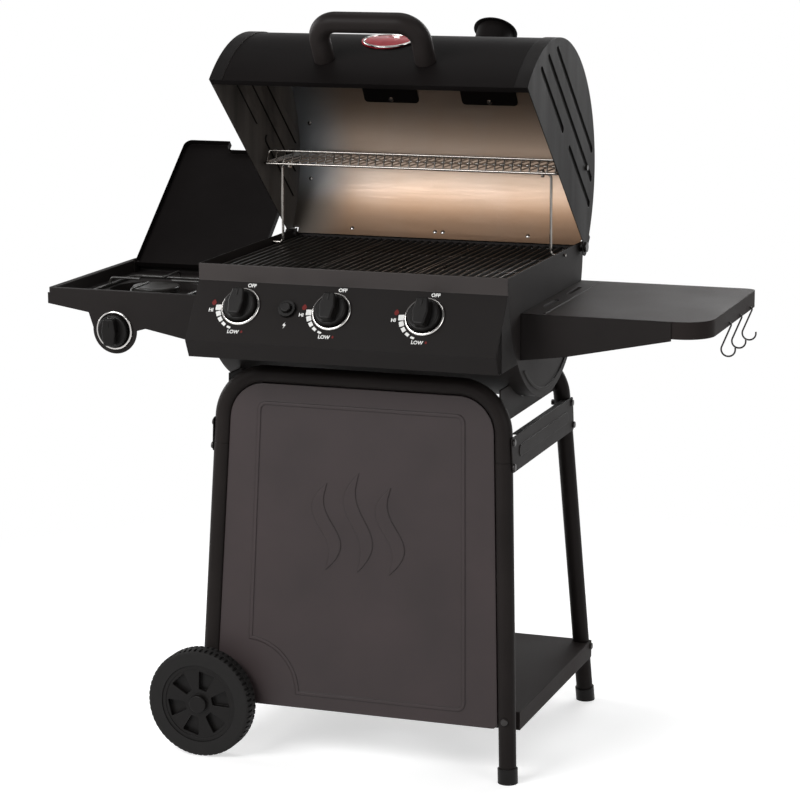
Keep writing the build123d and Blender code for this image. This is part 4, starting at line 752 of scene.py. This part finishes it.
class GRILL_OT_finish_plastics(bpy.types.Operator):
    """Finish the knobs, igniter, wheel rims, foot caps and tyres"""

    bl_idname = "grill.finish_plastics"
    bl_label = "Finish Plastics and Tyres"

    def execute(self, context):
        finishes = context.scene.grill_finishes
        dress(MOULDED, moulded_plastic("moulded_plastic", finishes.plastic))
        dress(TYRES, tyre_rubber("tyre_rubber", finishes.rubber))
        return {"FINISHED"}


class GRILL_OT_finish_metals(bpy.types.Operator):
    """Finish the liner, bright steel, chrome, cast iron, brass and the badge's enamel"""

    bl_idname = "grill.finish_metals"
    bl_label = "Finish Bare Metals"

    def execute(self, context):
        finishes = context.scene.grill_finishes
        dress(["lid_liner"], liner_sheet("lid_liner_steel", finishes.liner, finishes.liner_edge_reflection))
        dress(STEEL, brushed_steel("plain_steel", finishes.steel))
        dress(PLATED, chrome_plate("chrome_plate", finishes.plating))
        dress(RACK_WIRE, rack_plate("rack_plate", finishes.rack, finishes.coat))
        dress(IRON, cast_iron("cast_iron", finishes.iron))
        dress(BRASS, machined_brass("machined_brass", finishes.brass))
        dress(["lid_badge"], gloss_enamel("badge_enamel", finishes.enamel))
        return {"FINISHED"}


class GRILL_OT_print_dials(bpy.types.Operator):
    """Print the marks round the burner knobs and under the igniter"""

    bl_idname = "grill.print_dials"
    bl_label = "Print Dials"

    def execute(self, context):
        finishes = context.scene.grill_finishes
        fittings = context.scene.grill_fittings
        white = printed_ink("white_print", finishes.print_white)
        red = printed_ink("red_print", finishes.print_red)
        for knob in BURNER_KNOBS:
            place = knob_place(knob)
            marks = bmesh.new()
            self.print_blocks(marks, fittings, place)
            for text, degrees, out in DIAL_WORDS:
                spot = polar(degrees, out) @ Matrix.Translation((0.0, 0.0, INK))
                word(marks, text, fittings.letter, place @ spot)
            set_down(knob + "_dial", marks, white, "cart")
            heat = bmesh.new()
            for degrees, out, size in HEAT_MARKS:
                self.print_drop(heat, size, place @ polar(degrees, out))
            set_down(knob + "_heat_mark", heat, red, "cart")
        spark = bmesh.new()
        self.print_spark(spark, fittings, knob_place("left_knob"))
        set_down("igniter_spark_mark", spark, white, "cart")
        return {"FINISHED"}

    def print_blocks(self, marks, fittings, place):
        """Blocks that shrink from hot to low."""
        gaps = fittings.dial_count - 1
        pitch = math.radians(DIAL_END - DIAL_START) / gaps
        tall = fittings.dial_radius * pitch * BLOCK_FILL
        for i in range(fittings.dial_count):
            along = i / gaps
            degrees = DIAL_START + (DIAL_END - DIAL_START) * along
            width = fittings.dial_block * (1.0 - BLOCK_NARROWING * along)
            height = tall * (1.0 - BLOCK_LOWERING * along)
            turned = Matrix.Rotation(math.radians(degrees), 4, "Z")
            spot = place @ polar(degrees, fittings.dial_radius) @ turned
            prism(marks, rounded_box(width, height, width * BLOCK_CORNER), 0.0, INK, spot)

    def print_drop(self, heat, size, place):
        """Small drop with its point up."""
        drop = []
        for i in range(DROP_STEPS):
            x, y = circle_point(1.0, i / DROP_STEPS)
            pinch = 1.0 - DROP_PINCH * max(0.0, y)
            drop.append((DROP_WIDTH * size * x * pinch, size * y))
        prism(heat, drop, 0.0, INK, place)

    def print_spark(self, spark, fittings, place):
        """Spark below the igniter's button, in the plane of the dials."""
        button = frame["nodes"]["igniter_button"]
        corners = [button.matrix_world @ Vector(corner) for corner in button.bound_box]
        across = sum(corner.x for corner in corners) / len(corners) - place.translation.x
        spot = place @ Matrix.Translation((across, -fittings.spark_drop, 0.0))
        outline = [(x * fittings.spark_size, y * fittings.spark_size) for x, y in SPARK]
        prism(spark, outline, 0.0, INK, spot)


class GRILL_OT_fit_lid_plates(bpy.types.Operator):
    """Bolt two black plates to the inside of the lid"""

    bl_idname = "grill.fit_lid_plates"
    bl_label = "Fit Lid Plates"

    def execute(self, context):
        finishes = context.scene.grill_finishes
        fittings = context.scene.grill_fittings
        coat = powder_coat("lid_plate_coat", finishes.lid_coat, roughness=0.4)
        nut = chrome_plate("plate_bolt_plating", lighter(finishes.plating, 0.6))
        for hand, side in (("left", -1.0), ("right", 1.0)):
            x = side * fittings.plate_spread
            plate = bmesh.new()
            outline = rounded_box(fittings.plate_width, fittings.plate_height, PLATE_CORNER)
            prism(plate, outline, *PLATE_SHEET)
            bmesh.ops.subdivide_edges(plate, edges=plate.edges, cuts=2)
            bmesh.ops.translate(plate, verts=plate.verts, vec=(x, 0.0, 0.0))
            wrap_on_lid(plate, PLATE_ANGLE, PLATE_RADIUS)
            set_down("lid_plate_" + hand, plate, coat, "lid")
            bolt = bmesh.new()
            place = inside_lid(PLATE_BOLT_ANGLE, x, PLATE_RADIUS + PLATE_SHEET[0])
            lathe(bolt, PLATE_BOLT, place, steps=20)
            set_down("lid_plate_bolt_" + hand, bolt, nut, "lid")
        return {"FINISHED"}


class GRILL_OT_rivet_liner(bpy.types.Operator):
    """Rivet the liner to the lid"""

    bl_idname = "grill.rivet_liner"
    bl_label = "Rivet Liner"

    def execute(self, context):
        steel = chrome_plate("rivet_steel", lighter(context.scene.grill_finishes.plating, 0.5))
        rivets = bmesh.new()
        for degrees, x in LINER_RIVETS:
            lathe(rivets, RIVET, inside_lid(degrees, x, LINER_RADIUS), steps=16)
        set_down("liner_rivets", rivets, steel, "lid")
        return {"FINISHED"}


class GRILL_OT_rim_badge(bpy.types.Operator):
    """Put a bright rim round the blank badge"""

    bl_idname = "grill.rim_badge"
    bl_label = "Rim the Badge"

    def execute(self, context):
        thick = context.scene.grill_fittings.badge_rim
        rim = bmesh.new()
        rings = []
        for i in range(RIM_STEPS):
            cosine, sine = circle_point(1.0, i / RIM_STEPS)
            ring = []
            for j in range(RIM_SIDES):
                out, rise = circle_point(thick, j / RIM_SIDES)
                x = (BADGE_HALF[0] + out) * cosine
                y = (BADGE_HALF[1] + out) * sine
                ring.append(rim.verts.new((x, y, BADGE_LIFT + rise)))
            rings.append(ring)
        for first, second in zip(rings, rings[1:] + rings[:1]):
            for j in range(RIM_SIDES):
                after = (j + 1) % RIM_SIDES
                rim.faces.new((first[j], second[j], second[after], first[after]))
        wrap_on_lid(rim, BADGE_ANGLE, LID_RADIUS)
        plating = chrome_plate("badge_rim_plating", context.scene.grill_finishes.plating)
        piece = set_down("badge_rim", rim, plating, "lid")
        for face in piece.data.polygons:
            face.use_smooth = True
        return {"FINISHED"}


class GRILL_OT_fit_gauge(bpy.types.Operator):
    """Fit the card, marks and pointer of the lid's heat gauge"""

    bl_idname = "grill.fit_gauge"
    bl_label = "Fit Heat Gauge"

    def execute(self, context):
        finishes = context.scene.grill_finishes
        place = on_lid(GAUGE_ANGLE, 0.0, LID_RADIUS + GAUGE_LIFT)
        card = bmesh.new()
        lathe(card, GAUGE_CARD, place, steps=48)
        white = printed_ink("gauge_card_white", finishes.print_white)
        set_down("gauge_card", card, white, "lid")
        marks = bmesh.new()
        for i in range(TICK_COUNT):
            degrees = TICK_START + TICK_SWEEP * i / (TICK_COUNT - 1)
            long = TICK_LONG if i % TICK_GROUP == 0 else TICK_SHORT
            spot = Matrix.Rotation(math.radians(degrees), 4, "Z")
            spot @= Matrix.Translation((TICK_OUT - long / 2, 0.0, TICK_LIFT))
            outline = rounded_box(long, TICK_WIDTH, TICK_CORNER, steps=2)
            prism(marks, outline, 0.0, TICK_INK, place @ spot)
        black = printed_ink("gauge_marks_black", TICK_COLOUR)
        set_down("gauge_marks", marks, black, "lid")
        pointer = bmesh.new()
        spot = Matrix.Rotation(math.radians(POINTER_TURN), 4, "Z")
        prism(pointer, POINTER, *POINTER_SHEET, place @ spot)
        lathe(pointer, POINTER_HUB, place, steps=20)
        red = printed_ink("gauge_pointer_red", finishes.print_red)
        set_down("gauge_pointer", pointer, red, "lid")
        return {"FINISHED"}


def seen_straight(tree):
    """One where the camera, a mirror or a glass looks at a surface, nothing for light that it scatters."""
    rays = tree.nodes.new("ShaderNodeLightPath")
    total = rays.outputs["Is Camera Ray"]
    for name in ("Is Glossy Ray", "Is Transmission Ray"):
        total = compute(tree, "ADD", total, rays.outputs[name], clamp=True)
    return total


def glow(tree, strength):
    """White light from a surface."""
    node = tree.nodes.new("ShaderNodeEmission")
    node.inputs["Color"].default_value = WHITE
    feed(tree, strength, node.inputs["Strength"])
    return node.outputs["Emission"]


class GRILL_OT_set_stage(bpy.types.Operator):
    """Set the floor, room light, lamps and camera"""

    bl_idname = "grill.set_stage"
    bl_label = "Set Stage"

    def execute(self, context):
        scene = context.scene
        stage = scene.grill_stage
        scene.view_settings.view_transform = "Standard"
        self.lay_floor(scene, stage)
        self.light_room(scene, stage)
        self.hang_lamps(scene, stage)
        self.stand_camera(scene, stage)
        return {"FINISHED"}

    def lay_floor(self, scene, stage):
        """Round white floor that shows shadows only near the grill."""
        shape = bmesh.new()
        bmesh.ops.create_circle(shape, cap_ends=True, segments=FLOOR_SIDES, radius=FLOOR_RADIUS)
        mesh = bpy.data.meshes.new("floor")
        shape.to_mesh(mesh)
        shape.free()
        floor = bpy.data.objects.new("floor", mesh)
        scene.collection.objects.link(floor)
        mesh.materials.append(self.floor_paint(stage))

    def floor_paint(self, stage):
        """Pale paint near the grill that turns to plain white further off."""
        finish, tree, shader, place = new_finish("floor_paint")
        surface(tree, shader, rgba(stage.floor), FLOOR_ROUGHNESS, gloss=FLOOR_GLOSS)
        distance = tree.nodes.new("ShaderNodeVectorMath")
        distance.operation = "LENGTH"
        tree.links.new(place, distance.inputs[0])
        seen = seen_straight(tree)
        near = tree.nodes.new("ShaderNodeAddShader")
        tree.links.new(shader.outputs["BSDF"], near.inputs[0])
        tree.links.new(glow(tree, compute(tree, "MULTIPLY", seen, stage.floor_white)), near.inputs[1])
        fade = remap(tree, distance.outputs["Value"], stage.fade_start, stage.fade_end, smooth=True)
        both = tree.nodes.new("ShaderNodeMixShader")
        tree.links.new(compute(tree, "MULTIPLY", seen, fade), both.inputs["Fac"])
        tree.links.new(near.outputs["Shader"], both.inputs[1])
        tree.links.new(glow(tree, 1.0), both.inputs[2])
        output = next(node for node in tree.nodes if node.type == "OUTPUT_MATERIAL")
        tree.links.new(both.outputs["Shader"], output.inputs["Surface"])
        return finish

    def light_room(self, scene, stage):
        """Even light all round from white walls under a dim ceiling, at full white where it is looked at."""
        world = scene.world or bpy.data.worlds.new("room")
        scene.world = world
        world.use_nodes = True
        tree = world.node_tree
        tree.nodes.clear()
        height = split(tree, tree.nodes.new("ShaderNodeTexCoord").outputs["Generated"])["Z"]
        walls = remap(tree, height, stage.wall_top, stage.ceiling_start, 1.0, stage.ceiling, smooth=True)
        looked_at = remap(tree, seen_straight(tree), 0.0, 1.0, low=stage.sky, high=1.0)
        room = tree.nodes.new("ShaderNodeBackground")
        room.inputs["Color"].default_value = WHITE
        tree.links.new(compute(tree, "MULTIPLY", walls, looked_at), room.inputs["Strength"])
        output = tree.nodes.new("ShaderNodeOutputWorld")
        tree.links.new(room.outputs["Background"], output.inputs["Surface"])

    def hang_lamps(self, scene, stage):
        """Large soft lamps round the grill."""
        for setting, spot, aim, width, height in LAMPS:
            lamp = bpy.data.lights.new(setting + "_lamp", "AREA")
            lamp.shape = "RECTANGLE"
            lamp.size = width
            lamp.size_y = height
            lamp.energy = getattr(stage, setting)
            holder = bpy.data.objects.new(setting + "_lamp", lamp)
            holder.location = spot
            holder.rotation_euler = (Vector(aim) - Vector(spot)).to_track_quat("-Z", "Y").to_euler()
            scene.collection.objects.link(holder)

    def stand_camera(self, scene, stage):
        """Camera where the photograph was taken from."""
        right = Vector((math.cos(stage.turn), math.sin(stage.turn), 0.0))
        level = math.cos(stage.tilt)
        back = Vector((level * math.sin(stage.turn), -level * math.cos(stage.turn), math.sin(stage.tilt)))
        up = back.cross(right)
        rolled_right = right * math.cos(stage.roll) + up * math.sin(stage.roll)
        rolled_up = up * math.cos(stage.roll) - right * math.sin(stage.roll)
        view = bpy.data.cameras.new("camera")
        view.lens = stage.lens
        view.sensor_width = FILM_WIDTH
        view.clip_end = CLIP_END
        camera = bpy.data.objects.new("camera", view)
        turn = Matrix((rolled_right, rolled_up, back)).transposed().to_4x4()
        camera.matrix_world = Matrix.Translation(stage.eye) @ turn
        scene.collection.objects.link(camera)
        scene.camera = camera


OPERATORS = (
    GRILL_OT_coat_metalwork,
    GRILL_OT_finish_plastics,
    GRILL_OT_finish_metals,
    GRILL_OT_print_dials,
    GRILL_OT_fit_lid_plates,
    GRILL_OT_rivet_liner,
    GRILL_OT_rim_badge,
    GRILL_OT_fit_gauge,
    GRILL_OT_set_stage,
)


class GRILL_PT_dressing(bpy.types.Panel):
    """Lists the steps that dress the grill and their settings"""

    bl_idname = "GRILL_PT_dressing"
    bl_label = "Barbecue Grill"
    bl_space_type = "VIEW_3D"
    bl_region_type = "UI"
    bl_category = "Grill"

    def draw(self, context):
        for step in OPERATORS:
            self.layout.operator(step.bl_idname)
        scene = context.scene
        for group in (scene.grill_finishes, scene.grill_fittings, scene.grill_stage):
            box = self.layout.box()
            for setting in type(group).__annotations__:
                box.prop(group, setting)


CLASSES = (GrillFinishes, GrillFittings, GrillStage, *OPERATORS, GRILL_PT_dressing)


def register():
    for item in CLASSES:
        bpy.utils.register_class(item)
    bpy.types.Scene.grill_finishes = PointerProperty(type=GrillFinishes)
    bpy.types.Scene.grill_fittings = PointerProperty(type=GrillFittings)
    bpy.types.Scene.grill_stage = PointerProperty(type=GrillStage)


def unregister():
    del bpy.types.Scene.grill_stage
    del bpy.types.Scene.grill_fittings
    del bpy.types.Scene.grill_finishes
    for item in reversed(CLASSES):
        bpy.utils.unregister_class(item)


def main():
    register()
    for step in OPERATORS:
        group, name = step.bl_idname.split(".")
        getattr(getattr(bpy.ops, group), name)()


if __name__ == "__main__":
    main()
